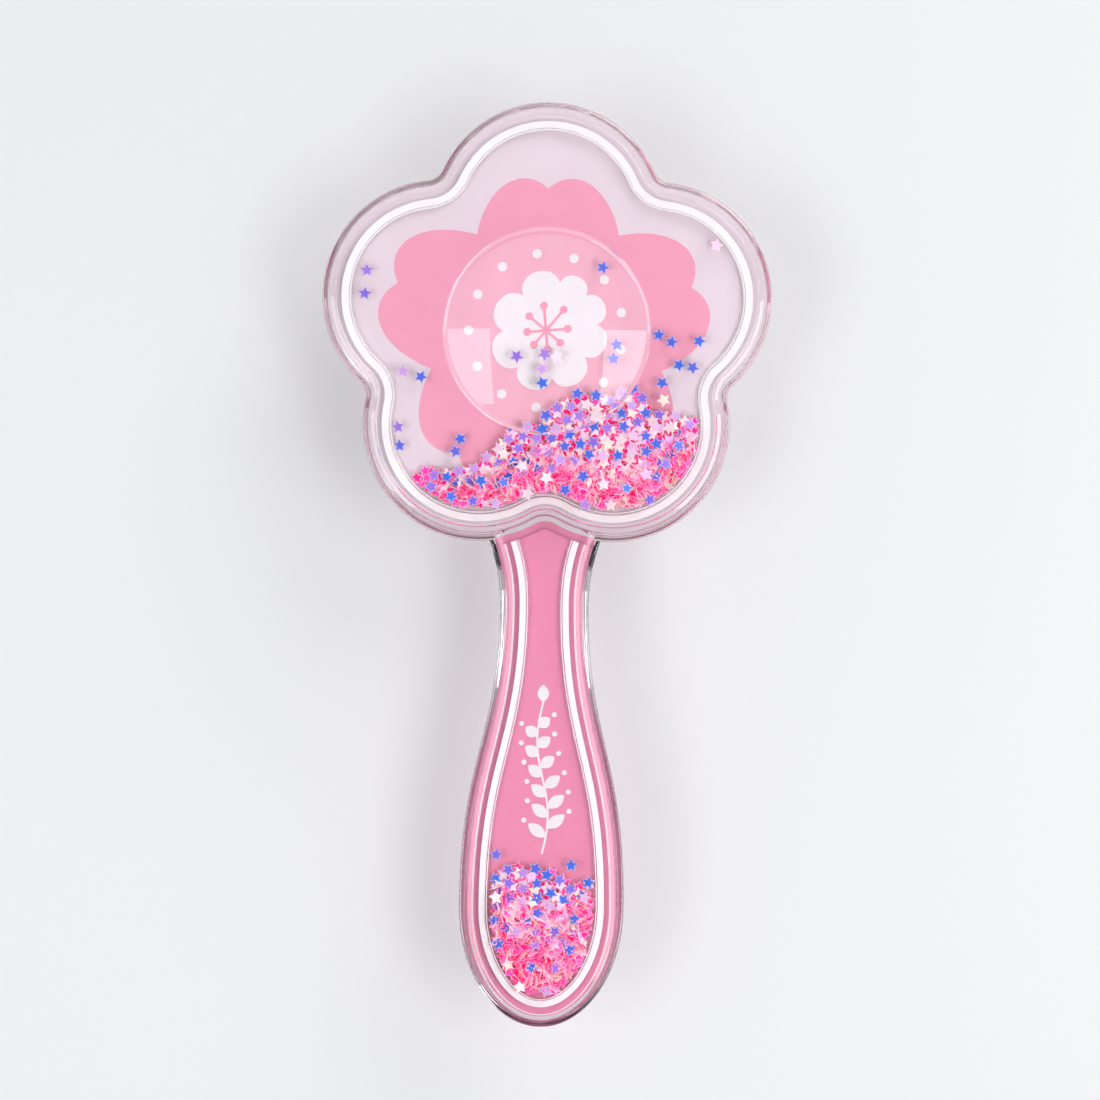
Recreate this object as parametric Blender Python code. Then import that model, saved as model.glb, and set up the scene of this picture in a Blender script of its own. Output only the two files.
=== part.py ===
"""Vanity hairbrush: a clear flower-shaped head and teardrop handle with two liquid-filled sequin
chambers on the back, and a rubber air cushion of ball-tipped pins on the front.

The brush lies pins down: +Z is its back, +Y points to the tip of the head, and the origin is on
the table under the middle of the brush. Units are metres.
"""

import math

import bpy
from mathutils import Matrix, Vector, geometry

# Plan of the head: five round petals with filleted valleys between them
LENGTH = 0.1950
LOBE_COUNT = 5
LOBE_OFFSET = 0.0240
LOBE_RADIUS = 0.0246
VALLEY_FILLET = 0.0035

# Plan of the handle: a neck that flares into the head, and a teardrop bulb
NECK_HALF = 0.00945
NECK_DROP = 0.0172
FLARE_HALF = 0.0132
ROOT_DEPTH = 0.0115
BULB_HALF = 0.0175
BULB_END = 0.0254
# Pull of the side curves' control points, as shares of the stretch that they bend
BULB_PULL = 0.505
NECK_PULL = 0.448
FLARE_LOW_PULL = 0.38
FLARE_HIGH_PULL = 0.39
FLARE_LEAN = 0.31

# Clear shells
RIM_RUN = 0.0042
FRONT_DRAW = 0.0032
HANDLE_ROUND = 0.0058
HANDLE_DEPTH = 0.0072
TOP_WALL = 0.0018
HANDLE_WALL = 0.0018
NECK_FLAT = 0.0015
SEAM_WALL = 0.0016
DECK = 0.0021

# Liquid chambers
CHAMBER_WALL = 0.0058
CHAMBER_FILLET = 0.0017
HEAD_CHAMBER_DEPTH = 0.0052
HANDLE_CHAMBER_DEPTH = 0.0027
ROOT_WALL = 0.0008
DOME_RADIUS = 0.0218
DOME_RISE = 0.0050
DOME_WALL = 0.0016
DOME_FLAT = 0.0009
CARD_THICKNESS = 0.0004
FLOOR_THICKNESS = 0.0010
PLUG_RADIUS = 0.0017
HEAD_PLUG_REACH = 0.0290
HANDLE_PLUG_RISE = 0.0140

# Air cushion and its clamping ring
RUBBER = 0.0012
CUSHION_CROWN = 0.0020
CUSHION_SIDE = 0.0020
CUSHION_SIDE_RUN = 0.0024
RING_SEAT = 0.0060
RING_WIDTH = 0.0032
RING_THICKNESS = 0.0011
AIR_WALL = 0.0085
AIR_DEPTH = 0.0031
VENT_RADIUS = 0.0006
VENT_REACH = 0.0215

# Pins
PIN_SHOW = 0.0120
PIN_PITCH = 0.0049
PIN_ROOT_RADIUS = 0.00060
PIN_NECK_RADIUS = 0.00042
PIN_BALL_RADIUS = 0.00078
PIN_BALL_HEIGHT = 0.0019
PIN_EDGE = 0.0016
WEB_THICKNESS = 0.0010
CENTRE_WEB_RADIUS = 0.0100
CENTRE_RINGS = ((0.0, 1), (0.0046, 5), (0.0086, 10))

# Clearance between neighbours, and how far a cutter runs past the face it opens
GAP = 0.0003
OVERSHOOT = 0.0010

# Facets of the round stretches
LOBE_STEPS = 10
FILLET_STEPS = 3
FLARE_STEPS = 5
SIDE_STEPS = 10
END_STEPS = 8
RIM_STEPS = 4
CORNER_STEPS = 3
DOME_SIDES = 36
DOME_STEPS = 4
PLUG_SIDES = 12

# Places that follow from those sizes
HALF_STEP = math.pi / LOBE_COUNT
HEAD_Y = LENGTH / 2 - LOBE_OFFSET - LOBE_RADIUS
FILLET_CENTRE = LOBE_OFFSET * math.cos(HALF_STEP) + math.sqrt(
    (LOBE_RADIUS + VALLEY_FILLET) ** 2 - (LOBE_OFFSET * math.sin(HALF_STEP)) ** 2
)
LOBE_SPAN = math.atan2(
    FILLET_CENTRE * math.sin(HALF_STEP), FILLET_CENTRE * math.cos(HALF_STEP) - LOBE_OFFSET
)
VALLEY_Y = HEAD_Y - FILLET_CENTRE + VALLEY_FILLET
NECK_Y = VALLEY_Y - NECK_DROP
BULB_Y = BULB_END - LENGTH / 2
ROUND_RUN = min(HANDLE_ROUND, NECK_HALF - HANDLE_WALL - NECK_FLAT)

RING_OPENING = RING_SEAT + GAP + RING_WIDTH
CUSHION_NECK = RING_OPENING + GAP
CUSHION_EDGE = CUSHION_NECK + CUSHION_SIDE_RUN
CUSHION_REACH = LOBE_OFFSET + LOBE_RADIUS - CUSHION_EDGE
PIN_INSET = CUSHION_EDGE + PIN_EDGE

# Levels, from the pin tips up
CROWN_Z = PIN_SHOW
CROWN_EDGE_Z = CROWN_Z + CUSHION_CROWN
FLANGE_Z = CROWN_EDGE_Z + CUSHION_SIDE
RING_Z = FLANGE_Z - GAP - RING_THICKNESS
LEDGE_Z = FLANGE_Z + RUBBER + GAP
AIR_TOP_Z = LEDGE_Z + AIR_DEPTH
FRONT_TOP_Z = AIR_TOP_Z + DECK
HANDLE_BOTTOM_Z = FRONT_TOP_Z - HANDLE_DEPTH
BACK_Z = FRONT_TOP_Z + GAP
FLOOR_Z = BACK_Z + CARD_THICKNESS + GAP
CHAMBER_Z = FLOOR_Z + FLOOR_THICKNESS + GAP
HEAD_CEILING_Z = CHAMBER_Z + HEAD_CHAMBER_DEPTH
HEAD_TOP_Z = HEAD_CEILING_Z + TOP_WALL
HANDLE_CEILING_Z = CHAMBER_Z + HANDLE_CHAMBER_DEPTH
HANDLE_TOP_Z = HANDLE_CEILING_Z + TOP_WALL
DOME_TOP_Z = HEAD_TOP_Z + DOME_RISE
DOME_SPHERE = (DOME_RADIUS**2 + DOME_RISE**2) / (2 * DOME_RISE)
DOME_CENTRE_Z = DOME_TOP_Z - DOME_SPHERE
PETAL_WEB_Z = CROWN_EDGE_Z + RUBBER + GAP


def arc(centre, radius, start, end, steps):
    """Points of an arc, its end left out because the next stretch begins there."""
    turn = (end - start) / steps
    return [
        centre + radius * Vector((math.cos(start + turn * i), math.sin(start + turn * i)))
        for i in range(steps)
    ]


def flower(inset):
    """Outline of the head about its own centre, counter-clockwise, moved inwards by inset."""
    points = []
    for lobe in range(LOBE_COUNT):
        axis = math.pi / 2 + 2 * HALF_STEP * lobe
        valley = axis + HALF_STEP
        lobe_centre = LOBE_OFFSET * Vector((math.cos(axis), math.sin(axis)))
        valley_centre = FILLET_CENTRE * Vector((math.cos(valley), math.sin(valley)))
        points += arc(
            lobe_centre, LOBE_RADIUS - inset, axis - LOBE_SPAN, axis + LOBE_SPAN, LOBE_STEPS
        )
        points += arc(
            valley_centre,
            VALLEY_FILLET + inset,
            axis + LOBE_SPAN + math.pi,
            axis + 2 * HALF_STEP - LOBE_SPAN + math.pi,
            FILLET_STEPS,
        )
    return points


def flower_inset(point):
    """How far a point inside the head's outline lies from it."""
    lean = math.remainder(math.atan2(point.x, point.y), 2 * HALF_STEP)
    across = Vector((math.cos(lean), abs(math.sin(lean)))) * point.length
    from_lobe = across - Vector((LOBE_OFFSET, 0.0))
    if math.atan2(from_lobe.y, from_lobe.x) <= LOBE_SPAN:
        return LOBE_RADIUS - from_lobe.length
    valley_centre = FILLET_CENTRE * Vector((math.cos(HALF_STEP), math.sin(HALF_STEP)))
    return (across - valley_centre).length - VALLEY_FILLET


def bezier(a, b, c, d, steps):
    """Points of a cubic curve, its end left out."""
    return [Vector(p) for p in geometry.interpolate_bezier(a, b, c, d, steps + 1)][:-1]


def handle(inset):
    """Outline of the handle, counter-clockwise from its end, moved inwards by inset. Its root lies
    inside the head."""
    fall = NECK_Y - BULB_Y
    flare = VALLEY_Y - NECK_Y
    lean_half = NECK_HALF + FLARE_LEAN * (FLARE_HALF - NECK_HALF)
    side = [
        Vector((BULB_HALF * math.sin(t), BULB_Y - BULB_END * math.cos(t)))
        for t in (math.pi / 2 * i / END_STEPS for i in range(END_STEPS))
    ]
    side += bezier(
        Vector((BULB_HALF, BULB_Y)),
        Vector((BULB_HALF, BULB_Y + BULB_PULL * fall)),
        Vector((NECK_HALF, NECK_Y - NECK_PULL * fall)),
        Vector((NECK_HALF, NECK_Y)),
        SIDE_STEPS,
    )
    side += bezier(
        Vector((NECK_HALF, NECK_Y)),
        Vector((NECK_HALF, NECK_Y + FLARE_LOW_PULL * flare)),
        Vector((lean_half, VALLEY_Y - FLARE_HIGH_PULL * flare)),
        Vector((FLARE_HALF, VALLEY_Y)),
        FLARE_STEPS,
    )
    side += [Vector((FLARE_HALF, VALLEY_Y)), Vector((FLARE_HALF, VALLEY_Y + ROOT_DEPTH))]
    points = side + [Vector((-p.x, p.y)) for p in reversed(side[1:])]
    moved = []
    for i, point in enumerate(points):
        before = (point - points[i - 1]).normalized()
        after = (points[(i + 1) % len(points)] - point).normalized()
        normal = before.orthogonal() + after.orthogonal()
        moved.append(point + inset * normal / (1 + before.dot(after)))
    return moved


def circle(radius, sides):
    return arc(Vector((0.0, 0.0)), radius, 0.0, 2 * math.pi, sides)


def material(name, colour, roughness, transmission=0.0):
    made = bpy.data.materials.new(name)
    made.use_nodes = True
    shader = made.node_tree.nodes["Principled BSDF"]
    shader.inputs["Base Color"].default_value = (*colour, 1.0)
    shader.inputs["Roughness"].default_value = roughness
    shader.inputs["Metallic"].default_value = 0.0
    shader.inputs["Transmission Weight"].default_value = transmission
    return made


def new_object(name, mesh, place=(0.0, 0.0, 0.0)):
    made = bpy.data.objects.new(name, mesh)
    made.location = place
    bpy.context.scene.collection.objects.link(made)
    return made


def smooth(mesh):
    mesh.shade_smooth()
    mesh.set_sharp_from_angle(angle=math.radians(35))
    return mesh


def mesh_of(name, vertices, faces):
    mesh = bpy.data.meshes.new(name)
    mesh.from_pydata(vertices, [], faces)
    return smooth(mesh)


def loft_shape(outline, profile, closed=False):
    """Points and faces of a solid whose section at each (inset, z) of the profile is the outline moved
    inwards by inset. The profile runs upwards, and a closed one goes on round, outside first, to make
    a ring."""
    rings = [[(p.x, p.y, z) for p in outline(inset)] for inset, z in profile]
    count = len(rings[0])
    faces = []
    for low in range(len(rings) if closed else len(rings) - 1):
        high = (low + 1) % len(rings)
        for i in range(count):
            j = (i + 1) % count
            faces.append(
                (low * count + i, low * count + j, high * count + j, high * count + i)
            )
    if not closed:
        faces.append(tuple(reversed(range(count))))
        faces.append(tuple(range((len(rings) - 1) * count, len(rings) * count)))
    return [point for ring in rings for point in ring], faces


def loft(name, outline, profile, closed=False):
    return mesh_of(name, *loft_shape(outline, profile, closed))


def rim_up(low, high, run, start=0.0):
    """Profile of a wall that curves in by run from level low up to level high."""
    turns = [math.pi / 2 * i / RIM_STEPS for i in range(RIM_STEPS + 1)]
    return [
        (start + run * (1 - math.cos(t)), low + (high - low) * math.sin(t)) for t in turns
    ]


def rim_down(low, high, run, start=0.0):
    """Profile, from low up to high, of a wall that curves in by run on its way down."""
    return rim_up(high, low, run, start)[::-1]


def rounded_top(inset, low, high, fillet):
    """Profile of a straight wall with a filleted top edge."""
    turns = [math.pi / 2 * i / CORNER_STEPS for i in range(CORNER_STEPS + 1)]
    return [(inset, low)] + [
        (inset + fillet * (1 - math.cos(t)), high - fillet * (1 - math.sin(t))) for t in turns
    ]


def dome_profile(sphere, low):
    """Profile, as insets from a circle of the sphere's radius, of its cap above level low."""
    start = math.asin((low - DOME_CENTRE_Z) / sphere)
    turns = [start + (math.pi / 2 - start) * i / DOME_STEPS for i in range(DOME_STEPS)]
    cap = [(sphere * (1 - math.cos(t)), DOME_CENTRE_Z + sphere * math.sin(t)) for t in turns]
    top = (sphere - DOME_FLAT, DOME_CENTRE_Z + sphere)
    return [(cap[0][0], low - OVERSHOOT), *cap, top]


def dome(name, sphere, low):
    return loft(
        name, lambda inset: circle(sphere - inset, DOME_SIDES), dome_profile(sphere, low)
    )


def helper(name, mesh, place=(0.0, 0.0, 0.0)):
    """A shape that only cuts or joins others."""
    made = new_object(name, mesh, place)
    made.hide_render = True
    made.display_type = "WIRE"
    return made


def combine(target, other, operation):
    modifier = target.modifiers.new(f"{operation.lower()} {other.name}", "BOOLEAN")
    modifier.operation = operation
    modifier.object = other
    modifier.solver = "EXACT"


def keep_clear_of_head(name, margin, target):
    """Cuts the head's outline, grown by margin, from a piece of the handle."""
    tall = [(-margin, 0.0), (-margin, DOME_TOP_Z)]
    combine(target, helper(name, loft(name, flower, tall), HEAD_PLACE), "DIFFERENCE")


for stale in list(bpy.data.objects):
    bpy.data.objects.remove(stale, do_unlink=True)

HEAD_PLACE = (0.0, HEAD_Y, 0.0)
CLEAR = material("clear plastic", (0.97, 0.93, 0.95), 0.04, 1.0)
OIL = material("oil with star sequins", (0.86, 0.52, 0.82), 0.15, 0.4)
HEAD_PRINT = material("pale pink card", (0.86, 0.62, 0.72), 0.5)
HANDLE_PRINT = material("pink card", (0.85, 0.30, 0.46), 0.5)
PLUG_RUBBER = material("clear silicone plug", (0.92, 0.86, 0.88), 0.4)
PINK_RUBBER = material("pink cushion rubber", (0.84, 0.36, 0.50), 0.55)
RING_PLASTIC = material("white ring plastic", (0.90, 0.84, 0.87), 0.3)
NYLON = material("white pin nylon", (0.92, 0.89, 0.90), 0.35)

body = new_object("brush_body", None)
pin_bed = new_object("pin_bed", None, (0.0, HEAD_Y, PETAL_WEB_Z))


def finish(piece, finish_material, parent=body):
    piece.data.materials.append(finish_material)
    piece.parent = parent
    piece.matrix_parent_inverse = Matrix.Translation(-parent.location)
    return piece


def make_back_shell():
    """Clear upper moulding: two chambers, open below, and a hollow dome over the head's chamber."""
    head_block = loft("back_shell", flower, rim_up(BACK_Z, HEAD_TOP_Z, RIM_RUN))
    shell = new_object("back_shell", head_block, HEAD_PLACE)
    handle_block = loft("handle_back", handle, rim_up(BACK_Z, HANDLE_TOP_Z, RIM_RUN))
    combine(shell, helper("handle_back", handle_block), "UNION")
    bulge = dome("dome_bulge", DOME_SPHERE, HEAD_TOP_Z)
    combine(shell, helper("dome_bulge", bulge, HEAD_PLACE), "UNION")

    pocket = [(SEAM_WALL, BACK_Z - OVERSHOOT), (SEAM_WALL, CHAMBER_Z)]
    head_hollow = pocket + rounded_top(CHAMBER_WALL, CHAMBER_Z, HEAD_CEILING_Z, CHAMBER_FILLET)
    head_cutter = helper("head_hollow", loft("head_hollow", flower, head_hollow), HEAD_PLACE)
    combine(shell, head_cutter, "DIFFERENCE")
    dome_hollow = dome("dome_hollow", DOME_SPHERE - DOME_WALL, HEAD_CEILING_Z)
    combine(shell, helper("dome_hollow", dome_hollow, HEAD_PLACE), "DIFFERENCE")

    handle_hollow = pocket + rounded_top(
        CHAMBER_WALL, CHAMBER_Z, HANDLE_CEILING_Z, CHAMBER_FILLET
    )
    handle_cutter = helper("handle_hollow", loft("handle_hollow", handle, handle_hollow))
    keep_clear_of_head("root_wall", ROOT_WALL, handle_cutter)
    combine(shell, handle_cutter, "DIFFERENCE")
    return finish(shell, CLEAR)


def make_front_shell():
    """Clear lower moulding: a stepped seat for cushion and ring, and a hollow handle."""
    head_block = loft("front_shell", flower, rim_down(RING_Z, FRONT_TOP_Z, FRONT_DRAW))
    shell = new_object("front_shell", head_block, HEAD_PLACE)
    handle_block = loft("handle_front", handle, rim_down(HANDLE_BOTTOM_Z, FRONT_TOP_Z, ROUND_RUN))
    combine(shell, helper("handle_front", handle_block), "UNION")
    seat = [
        (RING_SEAT, HANDLE_BOTTOM_Z - HANDLE_DEPTH),
        (RING_SEAT, LEDGE_Z),
        (AIR_WALL, LEDGE_Z),
        (AIR_WALL, AIR_TOP_Z),
    ]
    seat_cutter = helper("cushion_seat", loft("cushion_seat", flower, seat), HEAD_PLACE)
    combine(shell, seat_cutter, "DIFFERENCE")
    hollow = rim_down(HANDLE_BOTTOM_Z + HANDLE_WALL, FRONT_TOP_Z, ROUND_RUN, HANDLE_WALL)
    hollow.append((HANDLE_WALL, FRONT_TOP_Z + OVERSHOOT))
    cutter = helper("handle_front_hollow", loft("handle_front_hollow", handle, hollow))
    keep_clear_of_head("front_root", HANDLE_WALL, cutter)
    combine(shell, cutter, "DIFFERENCE")
    return finish(shell, CLEAR)


def make_chamber(name, outline, place, ceiling, plug_place, card_material):
    """Floor, fill plug, printed card and sequin fill of one chamber."""
    under_wall = SEAM_WALL + GAP
    floor_mesh = loft(
        f"{name}_floor",
        outline,
        [(under_wall, FLOOR_Z), (under_wall, FLOOR_Z + FLOOR_THICKNESS)],
    )
    floor = new_object(f"{name}_chamber_floor", floor_mesh, place)
    hole_mesh = loft(
        f"{name}_fill_hole",
        lambda inset: circle(PLUG_RADIUS + GAP - inset, PLUG_SIDES),
        [(0.0, FLOOR_Z - OVERSHOOT), (0.0, FLOOR_Z + FLOOR_THICKNESS + OVERSHOOT)],
    )
    combine(floor, helper(f"{name}_fill_hole", hole_mesh, plug_place), "DIFFERENCE")
    plug_mesh = loft(
        f"{name}_plug",
        lambda inset: circle(PLUG_RADIUS - inset, PLUG_SIDES),
        [(0.0, FLOOR_Z), (0.0, FLOOR_Z + FLOOR_THICKNESS - GAP), (GAP, FLOOR_Z + FLOOR_THICKNESS)],
    )
    plug = new_object(f"{name}_fill_plug", plug_mesh, plug_place)
    card_mesh = loft(
        f"{name}_card", outline, [(under_wall, BACK_Z), (under_wall, BACK_Z + CARD_THICKNESS)]
    )
    card = new_object(f"{name}_card", card_mesh, place)
    fill_mesh = loft(
        f"{name}_fill",
        outline,
        rounded_top(CHAMBER_WALL + GAP, CHAMBER_Z, ceiling - GAP, CHAMBER_FILLET),
    )
    fill = new_object(f"{name}_sequin_fill", fill_mesh, place)
    finish(floor, CLEAR)
    finish(plug, PLUG_RUBBER)
    finish(card, card_material)
    finish(fill, OIL)
    return floor, card, fill


def make_head_chamber():
    plug_place = (0.0, HEAD_Y - HEAD_PLUG_REACH, 0.0)
    fill = make_chamber("head", flower, HEAD_PLACE, HEAD_CEILING_Z, plug_place, HEAD_PRINT)[2]
    bulge = dome("dome_fill", DOME_SPHERE - DOME_WALL - GAP, HEAD_CEILING_Z - GAP)
    combine(fill, helper("dome_fill", bulge, HEAD_PLACE), "UNION")


def make_handle_chamber():
    plug_place = (0.0, HANDLE_PLUG_RISE - LENGTH / 2, 0.0)
    pieces = make_chamber(
        "handle", handle, (0.0, 0.0, 0.0), HANDLE_CEILING_Z, plug_place, HANDLE_PRINT
    )
    for piece in pieces:
        keep_clear_of_head(f"{piece.name}_root", ROOT_WALL + GAP, piece)


def cushion_face(point):
    """Level of the rubber's outer face: a flat flange, a drawn-in side and a crowned middle."""
    crown = CROWN_Z + CUSHION_CROWN * (point.length / CUSHION_REACH) ** 2
    share = (flower_inset(point) - CUSHION_NECK) / CUSHION_SIDE_RUN
    share = min(max(share, 0.0), 1.0)
    return FLANGE_Z + (crown - FLANGE_Z) * share * share * (3 - 2 * share)


def petal_pins():
    """Places of one petal's pins, about the head's centre, on rows across the petal."""
    places = []
    reach = CENTRE_WEB_RADIUS + PIN_EDGE + GAP
    row = 0
    while reach < LOBE_OFFSET + LOBE_RADIUS:
        most = math.ceil(LOBE_RADIUS / PIN_PITCH)
        for column in range(-most, most + 1):
            place = Vector(((column + 0.5 * (row % 2)) * PIN_PITCH, reach))
            beside = place.y * math.sin(HALF_STEP) - abs(place.x) * math.cos(HALF_STEP)
            if flower_inset(place) >= PIN_INSET and beside >= PIN_PITCH / 2:
                places.append(place)
        row += 1
        reach += PIN_PITCH * math.sqrt(3) / 2
    return places


def centre_pins():
    places = []
    for radius, count in CENTRE_RINGS:
        for i in range(count):
            turn = math.pi / 2 + 2 * math.pi * i / count
            places.append(radius * Vector((math.cos(turn), math.sin(turn))))
    return places


def turned(point, lobe):
    return point @ Matrix.Rotation(-2 * HALF_STEP * lobe, 2)


def square(place, radius):
    return [place + p for p in circle(radius, 4)]


def make_cushion():
    """Crowned rubber membrane with a hole for each pin and an air vent."""
    rings = [
        flower(inset)
        for inset in (
            RING_SEAT + GAP,
            CUSHION_NECK,
            CUSHION_NECK + CUSHION_SIDE_RUN / 2,
            CUSHION_EDGE,
        )
    ]
    pins = centre_pins()
    for lobe in range(LOBE_COUNT):
        pins += [turned(place, lobe) for place in petal_pins()]
    holes = [square(place, PIN_ROOT_RADIUS + GAP) for place in pins]
    holes.append(square(Vector((0.0, -VENT_REACH)), VENT_RADIUS))
    points = []
    edges = []
    for loop in rings + holes:
        first = len(points)
        points += loop
        edges += [(first + i, first + (i + 1) % len(loop)) for i in range(len(loop))]
    outer = list(range(len(rings[0])))
    flat, _, triangles, *_ = geometry.delaunay_2d_cdt(points, edges, [outer], 1, 1e-7)
    middles = [sum(hole, Vector((0.0, 0.0))) / len(hole) for hole in holes]
    reaches = [(hole[0] - middle).length / math.sqrt(2) for hole, middle in zip(holes, middles)]

    def in_hole(triangle):
        centre = sum((flat[i] for i in triangle), Vector((0.0, 0.0))) / 3
        return any((centre - m).length < r for m, r in zip(middles, reaches))

    kept = [tuple(t) for t in triangles if not in_hole(t)]
    count = len(flat)
    lower = [(p.x, p.y, cushion_face(p)) for p in flat]
    upper = [(x, y, z + RUBBER) for x, y, z in lower]
    faces = [tuple(reversed(t)) for t in kept]
    faces += [tuple(i + count for i in t) for t in kept]
    sides = {(t[i], t[(i + 1) % 3]) for t in kept for i in range(3)}
    rims = sorted((a, b) for a, b in sides if (b, a) not in sides)
    faces += [(a, b, b + count, a + count) for a, b in rims]
    cushion = new_object("cushion", mesh_of("cushion", lower + upper, faces), HEAD_PLACE)
    return finish(cushion, PINK_RUBBER)


def make_cushion_ring():
    """Flat ring, flush with the front shell, that clamps the cushion's flange."""
    profile = [
        (RING_SEAT + GAP, RING_Z),
        (RING_SEAT + GAP, RING_Z + RING_THICKNESS),
        (RING_OPENING, RING_Z + RING_THICKNESS),
        (RING_OPENING, RING_Z),
    ]
    ring_mesh = loft("cushion_ring", flower, profile, closed=True)
    return finish(new_object("cushion_ring", ring_mesh, HEAD_PLACE), RING_PLASTIC)


def pin_group(name, outline, places, web_z):
    """Mesh of ball-tipped pins moulded on one web, about the pin bed's origin."""
    low = web_z - PETAL_WEB_Z
    web_faces = [(0.0, low), (0.0, low + WEB_THICKNESS)]
    group = new_object(name, loft(name, lambda inset: outline, web_faces))
    sections = [
        (PIN_NECK_RADIUS, -PETAL_WEB_Z),
        (PIN_BALL_RADIUS, PIN_BALL_RADIUS - PETAL_WEB_Z),
        (PIN_NECK_RADIUS, PIN_BALL_HEIGHT - PETAL_WEB_Z),
        (PIN_ROOT_RADIUS, low + WEB_THICKNESS / 2),
    ]
    vertices = []
    faces = []
    for place in places:
        points, sides = loft_shape(lambda radius: square(place, radius), sections)
        faces += [tuple(len(vertices) + i for i in side) for side in sides]
        vertices += points
    pins = helper(f"{name}_shafts", mesh_of(f"{name}_shafts", vertices, faces))
    combine(group, pins, "UNION")
    evaluated = group.evaluated_get(bpy.context.evaluated_depsgraph_get())
    joined = smooth(bpy.data.meshes.new_from_object(evaluated))
    bpy.data.objects.remove(pins, do_unlink=True)
    bpy.data.objects.remove(group, do_unlink=True)
    joined.name = name
    return joined


def place_pins(name, mesh, turn=0.0):
    group = new_object(name, mesh)
    group.rotation_euler.z = turn
    group.parent = pin_bed
    return group


def make_pins():
    """Pins of the middle, and one equal group for each petal."""
    centre_outline = circle(CENTRE_WEB_RADIUS, 2 * LOBE_COUNT)
    centre_reach = Vector((CENTRE_WEB_RADIUS, 0.0))
    centre_z = cushion_face(centre_reach) + RUBBER + GAP
    centre_mesh = pin_group("pins_centre", centre_outline, centre_pins(), centre_z)
    centre_mesh.materials.append(NYLON)
    place_pins("pins_centre", centre_mesh)

    inner = CENTRE_WEB_RADIUS + GAP
    beside = (PIN_PITCH / 2 - PIN_ROOT_RADIUS) / 2 / math.cos(HALF_STEP)
    half_inner = inner * math.tan(HALF_STEP) - beside
    outline = [Vector((-half_inner, inner)), Vector((half_inner, inner))]
    for point in flower(CUSHION_EDGE):
        lean = math.atan2(point.x, point.y)
        if abs(lean) <= 1.01 * HALF_STEP:
            limit = point.y * math.tan(HALF_STEP) - beside
            outline.append(Vector((min(max(point.x, -limit), limit), point.y)))
    outline[2:] = sorted(outline[2:], key=lambda p: math.atan2(p.x, p.y), reverse=True)
    petal_mesh = pin_group("pins_petal", outline, petal_pins(), PETAL_WEB_Z)
    petal_mesh.materials.append(NYLON)
    for lobe in range(LOBE_COUNT):
        place_pins(f"pins_petal_{lobe + 1}", petal_mesh, 2 * HALF_STEP * lobe)


make_back_shell()
make_front_shell()
make_head_chamber()
make_handle_chamber()
make_cushion()
make_cushion_ring()
make_pins()
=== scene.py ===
"""Looks of the vanity hairbrush: a clear flower-headed brush with star sequins in oil on its back and
an air cushion of ball-tipped pins on its front, lying pins down on a pale table. Units are metres."""

import math
from collections import namedtuple

import bpy
import numpy as np
from mathutils import Matrix, Vector, geometry


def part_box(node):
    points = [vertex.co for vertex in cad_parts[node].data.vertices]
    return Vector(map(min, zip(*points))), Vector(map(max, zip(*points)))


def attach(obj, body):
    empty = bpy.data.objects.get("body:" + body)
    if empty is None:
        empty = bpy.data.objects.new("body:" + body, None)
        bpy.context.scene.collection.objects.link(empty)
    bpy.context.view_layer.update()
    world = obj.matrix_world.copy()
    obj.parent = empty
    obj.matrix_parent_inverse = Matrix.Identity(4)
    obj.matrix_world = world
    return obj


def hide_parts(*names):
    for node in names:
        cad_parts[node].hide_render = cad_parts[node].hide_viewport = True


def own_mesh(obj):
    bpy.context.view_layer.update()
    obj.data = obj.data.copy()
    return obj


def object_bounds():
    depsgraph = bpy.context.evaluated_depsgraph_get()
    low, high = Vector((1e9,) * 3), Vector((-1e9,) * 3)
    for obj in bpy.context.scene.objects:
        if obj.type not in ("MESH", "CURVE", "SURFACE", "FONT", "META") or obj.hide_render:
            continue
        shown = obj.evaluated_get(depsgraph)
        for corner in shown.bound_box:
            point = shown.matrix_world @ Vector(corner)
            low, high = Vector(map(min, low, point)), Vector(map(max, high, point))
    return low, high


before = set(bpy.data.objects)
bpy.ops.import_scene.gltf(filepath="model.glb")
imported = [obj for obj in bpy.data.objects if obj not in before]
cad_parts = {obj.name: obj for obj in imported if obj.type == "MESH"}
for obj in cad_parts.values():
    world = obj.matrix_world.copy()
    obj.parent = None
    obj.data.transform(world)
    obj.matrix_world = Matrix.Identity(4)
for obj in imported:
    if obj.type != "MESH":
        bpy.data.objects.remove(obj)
cad_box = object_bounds()

# Front shell
# The lower half of the casing, injection moulded in clear styrene: a stepped seat for the cushion
# under the head and a hollow handle. It is welded to the back shell along the parting line.
LOBES = 5
LOBE_OFFSET = 0.0240
LOBE_RADIUS = 0.0246
VALLEY_FILLET = 0.0035
LOBE_STEPS = 26
FILLET_STEPS = 8
HALF_STEP = math.pi / LOBES
FILLET_CENTRE = LOBE_OFFSET * math.cos(HALF_STEP) + math.sqrt(
    (LOBE_RADIUS + VALLEY_FILLET) ** 2 - (LOBE_OFFSET * math.sin(HALF_STEP)) ** 2
)
LOBE_SPAN = math.atan2(
    FILLET_CENTRE * math.sin(HALF_STEP), FILLET_CENTRE * math.cos(HALF_STEP) - LOBE_OFFSET
)
HEAD_CENTRE = Vector((0.0, cad_box[1].y - LOBE_OFFSET - LOBE_RADIUS))

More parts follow.
